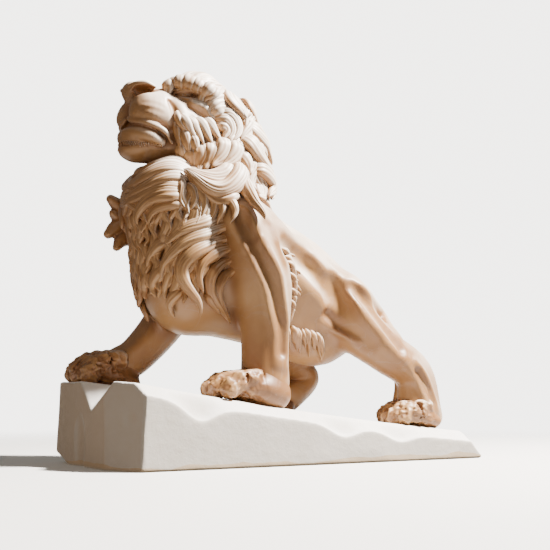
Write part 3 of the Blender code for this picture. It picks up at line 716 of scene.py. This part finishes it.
def carve_head():
    """The head: skull, bridge, nose, muzzle, jaw, cheeks, and then what is cut in, the same on each side."""
    clay = clay_block((-49, -14, 68), (-13, 14, 99.5), HEAD_GRAIN)

    def pair(stations, blend, flat=1.0, cut=False):
        for side in (-1, 1):
            limb(clay, [(x, side * y, z, r) for x, y, z, r in stations], blend, flat, cut)

    def pair_of_eggs(centre, radii, blend, turn=0.0, cut=False):
        for side in (-1, 1):
            egg(clay, (centre[0], side * centre[1], centre[2]), radii, blend, turn=side * turn, cut=cut)

    limb(clay, [(-20, 0, 68, 12.5), (-20, 0, 78, 11.0), (-21, 0, 84, 9.5)], 3, 1.0)
    egg(clay, (-23.5, 0, 86.8), (9.2, 8.9, 8.0), 3)
    limb(clay, [(-31.0, 0, 89.4, 3.6), (-26, 0, 90.5, 5.2)], 2.5, 1.4)
    egg(clay, (-25.0, 0, 92.4), (6.2, 7.8, 5.6), 1.0)
    limb(clay, [(-28, 0, 88.6, 5.0), (-33.6, 0, 89.1, 3.9), (-37.3, 0, 90.0, 3.7),
                (-40.6, 0, 91.1, 3.1)], 2.0, 1.15)
    limb(clay, [(-27, 0, 79.8, 5.4), (-34, 0, 78.7, 4.4), (-40, 0, 78.2, 3.9)], 2.0, 1.35)
    egg(clay, (-41.0, 0, 79.4), (4.1, 4.7, 3.1), 1.0)
    egg(clay, (-40.9, 0, 77.0), (4.3, 4.3, 2.7), 1.0)
    # muzzle pads, cheeks, jaw hinge, the ridge down from the eye's corner
    pair([(-41.0, 3.9, 85.8, 3.3), (-38.6, 4.5, 85.5, 4.2), (-35.8, 4.7, 84.8, 4.1)], 2.4)
    pair([(-39.8, 4.2, 88.2, 2.9), (-36.6, 4.6, 88.2, 3.3)], 2.2)
    pair_of_eggs((-27.6, 5.2, 85.6), (6.0, 4.8, 6.2), 2.5)
    pair_of_eggs((-27.5, 5.6, 79.0), (5.6, 4.4, 5.0), 3.0)
    pair([(-34.0, 5.4, 89.8, 1.3), (-32.8, 7.4, 87.0, 1.5), (-31.8, 8.6, 83.4, 1.5)], 1.4)
    # nose: pad, wings, and the nostril cut up into each
    egg(clay, (-42.2, 0, 91.9), (2.4, 3.4, 2.5), 0.9)
    pair_of_eggs((-40.5, 3.3, 91.8), (2.9, 2.0, 2.3), 0.9)
    pair([(-43.6, 3.2, 90.5, 0.9), (-42.2, 4.5, 90.8, 1.3), (-40.4, 5.5, 91.2, 1.3),
          (-38.6, 5.9, 91.6, 0.7)], 0.3, cut=True)
    pair_of_eggs((-41.2, 3.9, 91.2), (2.5, 2.0, 1.3), 0.3, turn=-25, cut=True)
    pair([(-44.0, 2.2, 92.5, 0.45), (-42.6, 4.2, 92.9, 0.55), (-40.6, 5.3, 93.0, 0.6),
          (-38.4, 5.5, 92.3, 0.4)], 0.5)
    limb(clay, [(-44.6, 0, 90.6, 0.3), (-43.9, 0, 88.6, 0.45), (-43.7, 0, 86.4, 0.5),
                (-43.8, 0, 84.8, 0.7)], 0.7, cut=True)
    # mouth: the line of the lips, the rolled edge above it and the full lower lip below
    pair([(-43.2, 0.0, 84.0, 0.5), (-43.9, 3.0, 82.6, 0.55), (-42.6, 5.6, 81.9, 0.6), (-40.6, 7.4, 81.3, 0.6),
          (-38.2, 8.2, 80.3, 0.65), (-36.2, 8.3, 79.0, 0.7), (-35.0, 7.9, 77.8, 0.5)], 0.4, cut=True)
    pair([(-43.2, 0.9, 84.6, 0.6), (-43.4, 3.2, 83.6, 0.75), (-42.0, 5.6, 82.9, 0.8), (-40.2, 7.1, 82.2, 0.8),
          (-37.8, 7.9, 81.2, 0.75), (-35.9, 8.0, 79.9, 0.65), (-34.7, 7.7, 78.3, 0.5)], 0.6)
    pair([(-43.4, 1.2, 80.4, 1.8), (-42.0, 4.0, 80.4, 1.9), (-39.6, 5.9, 79.6, 1.8),
          (-37.0, 6.5, 78.3, 1.2)], 0.6)
    pair([(-45.6, 0.4, 77.9, 0.4), (-43.6, 4.4, 77.7, 0.45), (-40.4, 6.6, 77.1, 0.45),
          (-37.4, 7.4, 76.6, 0.3)], 0.7, cut=True)
    # the groove behind the muzzle, the hollow of the cheek, two folds where the whiskers grow
    pair([(-35.7, 7.9, 88.4, 0.2), (-35.0, 8.9, 86.4, 0.4), (-34.5, 9.4, 83.6, 0.8),
          (-34.4, 8.8, 79.4, 1.1)], 1.0, cut=True)
    pair([(-30.2, 9.9, 87.6, 0.8), (-28.4, 10.6, 86.4, 1.3), (-27.0, 10.6, 85.4, 0.8)], 1.2, cut=True)
    pair([(-29.5, 9.0, 88.6, 0.8), (-26.8, 9.6, 87.9, 1.0), (-25.0, 9.8, 86.0, 0.9)], 1.4)
    for high in (87.4, 85.6):
        pair([(-42.6, 7.6, high, 0.2), (-40.6, 9.0, high - 0.1, 0.5), (-38.0, 9.7, high - 0.8, 0.5),
              (-36.2, 10.0, high - 1.9, 0.2)], 0.9, cut=True)
    # eyes: a long socket, the ball, both lids, and the heavy brow
    pair([(-34.2, 5.4, 91.2, 0.8), (-31.6, 7.7, 91.2, 1.4), (-28.8, 9.2, 90.8, 1.4),
          (-26.4, 10.1, 90.0, 0.8)], 0.4, cut=True)
    pair_of_eggs((-30.9, 6.5, 90.9), (1.9, 1.2, 1.0), 0.15, turn=35)
    pair_of_eggs((-31.4, 7.65, 90.9), (0.35, 0.35, 0.35), 0.1, cut=True)
    pair([(-33.8, 5.1, 91.2, 0.35), (-32.0, 6.9, 91.9, 0.45), (-29.9, 8.3, 91.9, 0.5),
          (-27.6, 9.3, 91.0, 0.45), (-26.2, 9.9, 90.0, 0.3)], 0.3)
    pair([(-33.8, 5.3, 90.9, 0.3), (-32.0, 7.2, 90.0, 0.4), (-29.8, 8.6, 89.7, 0.45),
          (-27.4, 9.6, 89.6, 0.4)], 0.4)
    pair([(-35.4, 2.8, 92.0, 1.0), (-33.4, 4.7, 92.9, 1.1), (-31.2, 6.7, 93.0, 1.2), (-28.6, 8.3, 92.3, 1.15),
          (-26.0, 9.5, 91.0, 1.0)], 0.6)
    return clay


head_clay = carve_head()
head_points, head_quads = draw_skin(head_clay)
# painted shade: the stone is painted darker in the creases and the broader hollows of the face
head_creases, head_hollows = recess_of(head_clay, head_points, 0.8), recess_of(head_clay, head_points, 1.6)
stone_piece("head", head_points, head_quads, CREAM, slot="cream_marble",
            recess=np.maximum(head_creases, 0.7 * head_hollows))


# The mane
# Every lock is a separate roll of stone, grooved into strands with a V-tool, thick at the root and drawn out
# to a curling tip; deep drill channels part it from its neighbours.

LOCK_ROWS = 25
STRAND_POINTS = 4


def lock(clay, places, width, thick, strands=5, proud=0.7, lean=0.0, flick=0.0, full=0.35):
    """One lock: a grooved crown carried along a smooth line that is laid on the clay, with its root sunk.
    Across it the crown is (1 - |s|^2.4)^0.6 high, and 0.15 of that comes and goes with the strands, whose
    tops are |sin|^0.6. Its width falls to nothing at the tip as (1 - along^2.2)^0.85."""
    line = smooth_curve(places, 10)
    lengths = np.r_[0, np.cumsum(np.linalg.norm(np.diff(line, axis=0), axis=1))]
    along = np.linspace(0, 1, LOCK_ROWS)
    line = np.stack([np.interp(along * lengths[-1], lengths, line[:, i]) for i in range(3)], axis=1)
    root_sunk = 0.9 * (1 - ease(along / 0.2))
    lift = thick * (proud * ease(along / 0.3) - root_sunk) + flick * ease((along - 0.7) / 0.3)
    for _ in range(4):
        step = np.clip(sample(clay, line) - lift, -1.5, 1.5)
        line = line - slope(clay, line) * step[:, None] * 0.8
        line[1:-1] = (line[:-2] + 2 * line[1:-1] + line[2:]) / 4
    out = slope(clay, line)
    for _ in range(6):
        out[1:-1] = (out[:-2] + out[1:-1] + out[2:]) / 3
    run = np.gradient(line, axis=0)
    run /= np.linalg.norm(run, axis=1, keepdims=True)
    side = np.cross(run, out)
    side /= np.maximum(np.linalg.norm(side, axis=1, keepdims=True), 1e-6)
    out = np.cross(side, run)
    turn = np.radians(lean) * np.sin(math.pi * along)[:, None]
    side, out = side * np.cos(turn) + out * np.sin(turn), out * np.cos(turn) - side * np.sin(turn)
    half = 1.22 * width * (0.5 + 0.5 * ease(along / full)) * (1 - along ** 2.2) ** 0.85 + 0.04
    tall = thick * (0.4 + 0.6 * ease(along / 0.35)) * (1 - along ** 3) ** 0.5 + 0.05
    across = np.linspace(-1, 1, strands * STRAND_POINTS + 1)
    sway = 0.12 * np.sin(2.2 * math.pi * along + width * 9 + thick * 5)[:, None] * (1 - across ** 2)
    uneven = across + sway + 0.09 * np.sin(math.pi * (across * 1.7 + width * 5))
    ridge = np.abs(np.sin(strands * math.pi * (uneven + 1) / 2)) ** 0.6
    crown = (1 - np.abs(across) ** 2.4) ** 0.6
    high = tall[:, None] * crown * (0.85 + 0.15 * ridge) * (1 + 0.16 * np.sin(1.7 * across + 2 * width))
    top = line[:, None] + side[:, None] * (half[:, None] * across)[..., None] + out[:, None] * high[..., None]
    under = np.array([0.7, 0.0, -0.7])
    low = line[:, None] + side[:, None] * (half[:, None] * under)[..., None]
    low = low - (out * 0.5 * tall[:, None])[:, None]
    rings = np.concatenate([top, low], axis=1)
    count = rings.shape[1]
    row, column = np.meshgrid(np.arange(LOCK_ROWS - 1), np.arange(count), indexing="ij")
    after = (column + 1) % count
    quads = np.stack([row * count + column, row * count + after, (row + 1) * count + after,
                      (row + 1) * count + column], axis=-1).reshape(-1, 4)
    half_ring = np.arange(count // 2 - 1)
    cap = np.stack([half_ring, count - 1 - half_ring, count - 2 - half_ring, half_ring + 1], axis=-1)
    quads = np.vstack([quads, cap, cap[:, ::-1] + (LOCK_ROWS - 1) * count])
    # painted shade: darker in the grooves between strands and towards the lock's edges, and fully dark on its
    # underside
    sunk = np.concatenate([(1 - ridge) * 0.8 + 0.25 * (1 - crown), np.ones((LOCK_ROWS, 3))], axis=1)
    return rings.reshape(-1, 3), quads, np.clip(sunk, 0, 1).ravel()


def gather(name, locks):
    """One piece from many locks."""
    starts = np.cumsum([0] + [len(points) for points, _, _ in locks])
    points = np.vstack([points for points, _, _ in locks])
    quads = np.vstack([quads + start for (_, quads, _), start in zip(locks, starts)])
    sunk = np.concatenate([sunk for _, _, sunk in locks])
    # the locks' painted shade is stored with each point
    return stone_piece(name, points, quads, CREAM, slot="cream_marble", recess=sunk)


def lay_locks(clay, table):
    """The locks of a table, and their mirror images. Each row is (spots, width, thick, strands, lean, flick),
    and a spot is (across, down) in the picture, often with how far the lock stands off the clay there."""
    spots = [spot for row in table for spot in row[0]]
    grows = np.array([spot[2] if len(spot) > 2 else ROOT_GROW for spot in spots])
    laid = touch([body_clay, head_clay], [spot[:2] for spot in spots], grows)
    lines = np.split(laid, np.cumsum([len(row[0]) for row in table])[:-1])
    made = []
    for side in (-1, 1):
        for line, (_, width, thick, strands, lean, flick) in zip(lines, table):
            places = line * (1, -side, 1)
            made.append(lock(clay, places, width, thick, strands, lean=-side * lean, flick=flick))
    return made


def wander(scatter, root, tip, swing):
    """An S-shaped line from root to tip that swings to one side and back, a little at random."""
    root, tip = np.array(root, float), np.array(tip, float)
    run = tip - root
    side = np.cross(run, ((root + tip) / 2 - (-20, 0, (root + tip)[2] / 2)))
    side /= max(np.linalg.norm(side), 1e-6)
    first, second = swing * scatter.uniform(0.7, 1.3), -swing * scatter.uniform(0.3, 0.9)
    return [root, root + run * 0.35 + side * first, root + run * 0.72 + side * second, tip]


# The hair of the head
# The tuft swept back from the brow, the shell of hair behind the cheek, and the whiskers of cheek and jaw.
# They are cut from the same cream marble in rows, with each root sunk under the tips of the row before.

CROWN_LOCKS = (
    ([(165, 90), (166, 86, 0.5), (168, 82, 0.8), (171, 79, 0.8)], 1, 0.9, 2, 0, 0.2),
    ([(168, 91), (170, 83, 0.6), (174, 77.5, 0.8)], 1.3, 1, 2, 0, 0.2),
    ([(174, 92), (175.5, 83, 0.7), (179, 77.5, 0.9), (185, 75, 0.8)], 1.6, 1.1, 3, 0, 0.2),
    ([(181, 93), (182, 84, 0.8), (187, 77.5, 1), (197, 75, 0.8), (207, 76, 0.4)], 2.1, 1.3, 3, -14, 0),
    ([(189, 94), (190, 85, 0.8), (196, 79, 1.1), (206, 77.5, 0.9), (215, 82, 0.6)], 2.3, 1.4, 3, -16, 0.1),
    ([(196, 96), (198, 88.5, 0.8), (204, 83.5, 1.1), (213, 82.5, 1.1),
      (221, 85, 0.8)], 2, 1.3, 3, -16, 0.2),
    ([(202, 99), (208, 91, 1), (219, 85.5, 1.5), (231, 84.5, 1.7)], 1.9, 1.5, 3, -18, 0.6),
    ([(206, 102), (215, 94.5, 1), (228, 90, 1.5), (242, 91.5, 1.9)], 1.8, 1.5, 3, -18, 0.8),
    ([(209, 106), (218, 99.5, 0.9), (230, 95.5, 1.4), (242, 96.5, 1.9)], 1.6, 1.4, 3, -16, 0.9),
    ([(211, 110), (220, 104, 0.9), (231, 100.5, 1.4), (240, 101, 1.7)], 1.6, 1.3, 3, -12, 0.8),
    ([(212, 114), (221, 109, 0.8), (231, 106, 1.3), (238.5, 105.5, 1.6)], 1.4, 1.2, 2, -10, 0.6),
)

SHELL_LOCKS = (
    ([(216, 113), (227, 110.5, 0.8), (237, 115, 1.3), (241.5, 125, 1.5), (238, 135, 1.3),
      (230, 143, 1)], 1.5, 1.6, 4, 18, 0.2),
    ([(216, 119), (226, 117.5, 0.8), (232.5, 124, 1), (232.5, 133, 1),
      (226, 141, 0.8)], 1.4, 1.3, 4, 14, 0.2),
    ([(216, 125.5), (223, 126, 0.6), (227, 131.5, 0.7), (222, 140.5, 0.6)], 1.3, 1.1, 3, 8, 0.2),
)

CHEEK_LOCKS = (
    ([(175, 109), (179, 119, 0.2), (184, 128, 0.5), (189, 136, 0.9)], 0.9, 0.7, 2, 10, 0.4),
    ([(181, 112), (186, 122, 0.2), (192, 133, 0.6), (198, 143, 1)], 1.1, 0.8, 2, 10, 0.4),
    ([(188, 114), (193, 124, 0.2), (199, 135, 0.6), (204, 145, 1)], 1.1, 0.8, 2, 10, 0.4),
    ([(196, 115), (202, 125, 0.2), (208, 136, 0.6), (213, 146, 1)], 1.2, 0.9, 2, 10, 0.4),
    ([(204, 116), (210, 125, 0.3), (216, 134, 0.7), (221, 142, 1)], 1.2, 0.9, 2, 10, 0.4),
    ([(175, 120), (177, 130, 0.2), (179, 140, 0.5), (181, 150, 0.8)], 1, 0.8, 2, 6, 0.4),
    ([(182, 125), (185, 136, 0.3), (188, 147, 0.6), (189, 158, 0.9)], 1.3, 0.9, 3, 6, 0.5),
    ([(191, 132), (194, 142, 0.4), (196, 151, 0.7), (195, 160, 0.9)], 1.2, 0.9, 3, 6, 0.5),
)

RUFF_LOCKS = (
    ([(178, 140), (181, 150, 0.5), (181, 158, 0.7), (179, 166, 0.9)], 1.4, 1, 3, 8, 0.5),
    ([(188, 144), (190, 154, 0.6), (190, 162, 0.9), (187, 170, 1.1)], 1.6, 1.1, 3, 8, 0.5),
    ([(199, 140), (202, 151, 0.6), (201, 160, 0.9), (196, 170, 1.3)], 2.1, 1.3, 4, 8, 0.6),
    ([(211, 138), (213, 149, 0.6), (211, 159, 0.9), (204, 169, 1.3)], 2.2, 1.4, 4, 10, 0.6),
    ([(224, 134), (225, 147, 0.7), (221, 157, 1.1), (211, 167, 1.5)], 2.4, 1.6, 4, 12, 0.6),
    ([(236, 136), (237, 149, 0.9), (232, 160, 1.3), (221, 169, 1.7)], 2.4, 1.7, 4, 14, 0.6),
)

scatter = np.random.default_rng(11)
head_hair = []
for table in (CROWN_LOCKS, SHELL_LOCKS, CHEEK_LOCKS, RUFF_LOCKS):
    head_hair += lay_locks(head_clay, table)
for row in range(4):
    count = 9 + 2 * row
    for index in range(count):
        angle = math.radians((-62 + 124 * (index + 0.5 * (row % 2)) / (count - 0.5)))
        reach = 8.6 + 0.6 * row
        root = (-28.5 + 3.4 * row, math.sin(angle) * reach, 87.0 + math.cos(angle) * reach * 0.95)
        tip = (min(root[0] + 8.5, -14.3), math.sin(angle) * (reach + 1.8), root[2] - 0.6 - 2.2 * row)
        places = wander(scatter, root, tip, 0.7 * (-1) ** index)
        head_hair.append(lock(head_clay, places, 1.5, 1.3, 4, flick=0.5, proud=0.3, lean=8))
for row in range(2):
    for side in (-1, 1):
        for index in range(6):
            high = 94.5 - 4.6 * index - 1.2 * row
            root = (-22.5 + 3.4 * row, side * 10.0, high)
            tip = (-16.5 + 3.0 * row, side * 11.5, high - 4.5 - 0.8 * index)
            places = wander(scatter, root, tip, 0.8 * (-1) ** (index + row))
            head_hair.append(lock(head_clay, places, 1.6, 1.2, 4, flick=0.5, proud=0.2, lean=8))
for side in (-1, 1):
    for index in range(20):
        share = index / 19
        root = (-45.0 + 8.0 * share ** 1.6, side * (0.6 + 6.6 * share ** 0.7), 78.6 - 1.2 * share)
        tip = (root[0] + 0.2, root[1] + side * 0.3, root[2] - scatter.uniform(0.8, 1.7))
        head_hair.append(lock(head_clay, wander(scatter, root, tip, 0.08), 0.13, 0.2, 1, proud=0.5))
gather("mane_head", head_hair)


# The hair of the neck
# The collar under the jaw, the shawl across the shoulder, the finger-like wisps that hang from it, the great
# hooks and the locks down the nape, all part of the same stone and the deepest undercut of the carving.

SHAWL_LOCKS = (
    ([(236, 158, 1), (231, 170, 1.6), (219, 176, 1.8), (203, 175, 1.6),
      (185, 169, 1.2)], 2.4, 1.7, 5, 8, 0.2),
    ([(243, 154, 1), (242, 174, 2), (231, 186, 2.4), (216, 189, 2.4), (200, 181, 2),
      (183, 171, 1.2)], 2.5, 2.4, 6, 24, 0.2),
    ([(240, 189, 0.6), (228, 198, 0.9), (213, 196, 1), (199, 187, 1), (186, 177, 0.6)], 2, 1.5, 5, 0, 0.2),
)

COLLAR_LOCKS = (
    ([(196, 163), (178, 160, 0.6), (160, 162, 1), (146, 168, 1), (133, 179, 0.6)], 1.7, 1.2, 4, -10, 0.2),
    ([(200, 171), (180, 167, 0.8), (160, 168.5, 1.2), (143, 177, 1.4),
      (126, 200, 0.8)], 2.5, 1.7, 5, -16, 0.3),
    ([(199, 178), (181, 175, 0.8), (161, 178, 1.2), (144, 186, 1.4),
      (127, 203, 0.8)], 2.2, 1.6, 5, -12, 0.3),
    ([(197, 187), (179, 184, 0.8), (160, 186, 1), (143, 194, 1.2), (127, 208, 0.8)], 2.1, 1.5, 5, -12, 0.5),
    ([(193, 195), (175, 193, 0.8), (157, 195, 1.2), (144, 203, 1.6), (139, 217, 1.2),
      (143, 224, 0.8)], 2.3, 1.8, 5, -18, 0.8),
    ([(192, 203), (175, 202, 0.7), (160, 206, 1), (152, 214, 1), (152, 225, 0.8)], 1.9, 1.4, 4, -12, 0.6),
    ([(127, 193, 0.5), (132, 205, 1), (143, 213, 1.2), (149, 223, 1)], 1.2, 1.2, 3, 0, 0.6),
)

FINGER_LOCKS = (
    ([(182, 176, 0.6), (181, 189, 1), (180, 200, 1), (185, 208, 0.8)], 1.2, 1.2, 3, 0, 0.6),
    ([(185, 182, 0.5), (192, 190, 0.9), (194, 201, 0.9), (189, 211, 0.7)], 1.2, 1.2, 3, 10, 0.4),
    ([(190, 183, 0.4), (201, 193, 0.8), (204, 207, 0.8), (199, 218, 0.6)], 1.3, 1.2, 3, 10, 0.4),
    ([(196, 185, 0.4), (210, 194, 0.7), (214, 208, 0.7), (208, 221, 0.5),
      (201, 227, 0.5)], 1.3, 1.2, 4, 12, 0.4),
    ([(203, 188, 0.4), (218, 197, 0.6), (224, 210, 0.6), (219, 224, 0.4)], 1.3, 1.1, 4, 10, 0.4),
    ([(212, 190, 0.4), (228, 199, 0.6), (235, 210, 0.6), (231, 224, 0.4)], 1.2, 1, 3, 8, 0.3),
)

HOOK_LOCKS = (
    ([(246, 169, 1), (246, 182, 1.8), (254, 196, 2), (261, 211, 1.4),
      (263, 221, 1)], 1.7, 1.8, 4, -22, 0.4),
    ([(247, 169, 1), (259, 166, 1.8), (270, 175, 2), (273, 187, 1.6), (267, 199, 1)], 2.1, 2, 5, 14, 0.3),
    ([(270, 163, 0.4), (274, 176, 0.6), (274, 189, 0.6), (268, 202, 0.4)], 1.3, 1.3, 3, 0, 0.4),
)

NAPE_LOCKS = (
    ([(236, 104), (242, 113, 1), (247, 117, 1.4), (253, 112.5, 2)], 0.9, 1.1, 3, 0, 1),
    ([(241, 117), (250, 126, 0.8), (259, 137, 1), (266, 150, 1), (269, 166, 0.6)], 2.2, 1.7, 5, 0, 0.4),
    ([(238, 131), (247, 139, 1.2), (256, 150, 1.6), (264, 162, 1.6), (269, 176, 1)], 2.4, 2, 5, 12, 0.4),
    ([(234, 142), (243, 147, 1.4), (250, 141, 1.8)], 1.1, 1.2, 3, 10, 0.7),
    ([(238, 150), (245, 158, 1.2), (250, 168, 1.4), (248, 177, 1)], 1.7, 1.5, 4, 12, 0.4),
    ([(253, 131, 0.6), (261, 137, 1), (265, 146, 1.2)], 1.2, 1.2, 3, 0, 0.6),
)

neck_hair = []
for table in (COLLAR_LOCKS, SHAWL_LOCKS, FINGER_LOCKS, HOOK_LOCKS, NAPE_LOCKS):
    neck_hair += lay_locks(body_clay, table)
gather("mane_neck", neck_hair)

nape = []
for row in range(5):
    for index in range(9):
        angle = math.radians(-80 + 160 * (index + 0.5 * (row % 2)) / 8.5)
        high = 94.0 - 5.6 * row + scatter.uniform(-0.8, 0.8)
        root = (-19 + 7.6 * math.cos(angle), 9.5 * math.sin(angle), high)
        tip = (-18.5 + 9.2 * math.cos(angle), 11.0 * math.sin(angle), high - 11.5)
        places = wander(scatter, root, tip, 1.7 * (-1) ** (index + row))
        nape.append(lock(body_clay, places, 2.6, 1.5, 5, flick=0.6, proud=0.4, lean=16 * (-1) ** index))
gather("mane_nape", nape)


# The hair of the chest
# Long bands of strands that sweep forward beside the shoulders, and between them tiers of short locks down
# the front. They are cut in the same stone with a V-tool, and stop where the forelegs part.

SIDE_BANDS = (
    ([(224, 214), (204, 221, 0.6), (182, 230, 1), (166, 246, 0.8)], 1.9, 1.4, 5, -10, 0.4),
    ([(228, 224), (206, 232, 0.6), (186, 241, 1), (171, 254, 1.2), (162, 268, 1.2),
      (164, 280, 0.8)], 2, 1.6, 5, -14, 0.6),
    ([(230, 235), (213, 241, 0.6), (196, 250, 1), (184, 261, 1.4), (180, 274, 1.6), (189, 290, 1.6),
      (201, 304, 1.4), (199, 315, 1)], 2, 1.9, 5, -16, 0.7),
    ([(232, 246), (216, 252, 0.5), (203, 262, 0.8), (198, 276, 1), (203, 294, 0.8)], 1.6, 1.4, 4, -10, 0.4),
    ([(234, 257), (220, 264, 0.5), (210, 275, 0.7), (210, 291, 0.7), (220, 308, 0.6),
      (232, 322, 0.4)], 1.4, 1.2, 4, -10, 0.3),
    ([(236, 268), (224, 276, 0.5), (217, 288, 0.6), (220, 304, 0.6),
      (232, 320, 0.4)], 1.3, 1.1, 3, -10, 0.3),
    ([(205, 290, 0.4), (212, 302, 0.9), (219, 313, 1)], 1, 1, 3, 0, 0.6),
    ([(170, 236), (158, 246, 0.6), (150, 258, 0.8), (150, 268, 0.8)], 1.6, 1.3, 4, -10, 0.5),
    ([(168, 262), (158, 273, 0.6), (153, 286, 0.8), (158, 297, 0.8)], 1.6, 1.3, 4, -10, 0.5),
    ([(186, 286), (176, 294, 0.5), (170, 305, 0.7), (176, 316, 0.7)], 1.4, 1.2, 4, -8, 0.5),
)

chest = lay_locks(body_clay, SIDE_BANDS)
for row in range(8):
    for index in range(15):
        high = 69.5 - 3.1 * row + scatter.uniform(-0.9, 0.9)
        angle = math.radians(-82 + 164 * (index + 0.5 * (row % 2)) / 14.5)
        front, out = 27 + 13.0 * math.cos(angle), 13.6 * math.sin(angle)
        root = (-front, out, high)
        tip = (-front - 1.0, out * 0.97, max(high - scatter.uniform(8.0, 11.0), 37.5))
        places = wander(scatter, root, tip, scatter.uniform(0.6, 1.4) * (1 if (index // 2 + row) % 2 else -1))
        width, flick = scatter.uniform(1.0, 1.5), scatter.uniform(0.3, 1.2)
        lean = scatter.uniform(-25, 25)
        chest.append(lock(body_clay, places, width, 1.2, 3, flick=flick, proud=0.45, lean=lean))
gather("mane_chest", chest)


# Fringes
# Short wisps behind each elbow and under the belly, cut shallow in the same stone: the plainest of the hair.

fringe = []
for side in (-1, 1):
    for index in range(10):
        share = (index + scatter.uniform(-0.3, 0.3)) / 9
        root = (-9.0 + 3.0 * share, side * (16.5 - 1.5 * share), 53.0 - 14.0 * share)
        tip = (-4.0 + 3.6 * share + scatter.uniform(-1, 1), side * 13.6, root[2] - scatter.uniform(1.6, 4.6))
        places = wander(scatter, root, tip, 0.5 * (-1) ** index)
        width, flick = scatter.uniform(0.6, 1.1), scatter.uniform(0.4, 1.4)
        fringe.append(lock(body_clay, places, width, 0.8, 2, flick=flick))
    for index in range(11):
        share = index / 10
        root = (-1.6 + 9.4 * share + scatter.uniform(-0.5, 0.5), side * 8.9, 34.6 - 1.6 * share)
        under, drop = side * scatter.uniform(4.6, 6.4), scatter.uniform(-1.8, 1.8)
        tip = (1.2 + 9.8 * share, under, 29.6 - 1.4 * share + drop)
        places = wander(scatter, root, tip, scatter.uniform(0.4, 1.2) * (-1) ** index)
        width, flick = scatter.uniform(0.6, 1.2), scatter.uniform(0, 0.5)
        fringe.append(lock(body_clay, places, width, 0.8, 2, flick=flick))
gather("fringes", fringe)


# The floor, the light and the camera
# A pale floor under a pale backdrop, one broad soft lamp from the upper right and a weak warm one low on the
# left, and a camera at the height of a sitting viewer that looks up a little from the lion's front left.

SENSOR = 36.0


def stage_and_light():
    """A pale floor that runs into the pale backdrop, a soft key from the upper right, and a warm fill."""
    bpy.ops.mesh.primitive_plane_add(size=60, location=(0, 0, 0))
    floor = bpy.context.object
    floor.name = "floor"
    floor.visible_diffuse = False
    material = bpy.data.materials.new("pale_floor")
    material.use_nodes = True
    tree = material.node_tree
    shader = tree.nodes["Principled BSDF"]
    shader.inputs["Base Color"].default_value = linear("#E9E7E3")
    shader.inputs["Roughness"].default_value = 0.9
    place = add(tree, "ShaderNodeTexCoord", out="Object")
    away = add(tree, "ShaderNodeVectorMath", {0: place}, "Value", operation="LENGTH")
    here = add(tree, "ShaderNodeMapRange", {0: away, 1: 1.6, 2: 5.0, 3: 1.0, 4: 0.0}, "Result",
               interpolation_type="SMOOTHSTEP")
    tree.links.new(here, shader.inputs["Alpha"])
    floor.data.materials.append(material)
    world = bpy.data.worlds.new("backdrop")
    bpy.context.scene.world = world
    world.use_nodes = True
    tree = world.node_tree
    seen = add(tree, "ShaderNodeLightPath", out="Is Camera Ray")
    strength = add(tree, "ShaderNodeMapRange", {0: seen, 3: 0.28, 4: 5.2}, "Result")
    tree.links.new(strength, tree.nodes["Background"].inputs["Strength"])
    tree.nodes["Background"].inputs["Color"].default_value = linear("#F4F1EC")
    lights = (
        ("key", (2.8, -2.7, 5.8), 0.6, 3900, "#FFF9F2"),
        ("warm_fill", (-3.4, -2.4, 0.4), 2.4, 28, "#FFD0A0"),
    )
    for name, place, size, power, colour in lights:
        lamp = bpy.data.lights.new(name, "AREA")
        lamp.size = size
        lamp.energy = power
        lamp.color = linear(colour)[:3]
        light = bpy.data.objects.new(name, lamp)
        light.location = place
        light.rotation_euler = (Vector((0, 0, 0.9)) - Vector(place)).to_track_quat("-Z", "Y").to_euler()
        bpy.context.scene.collection.objects.link(light)


def camera():
    """Eye level with the rock, looking up a little at the lion from its front left."""
    place, look, _, _ = camera_frame()
    data = bpy.data.cameras.new("camera")
    data.sensor_width = SENSOR
    data.lens = SENSOR * FOCAL_PIXELS / PICTURE_SIDE
    eye = bpy.data.objects.new("camera", data)
    eye.location = Vector(place) * SHARE
    eye.rotation_euler = Vector(look).to_track_quat("-Z", "Y").to_euler()
    bpy.context.scene.collection.objects.link(eye)
    bpy.context.scene.camera = eye


stage_and_light()
camera()
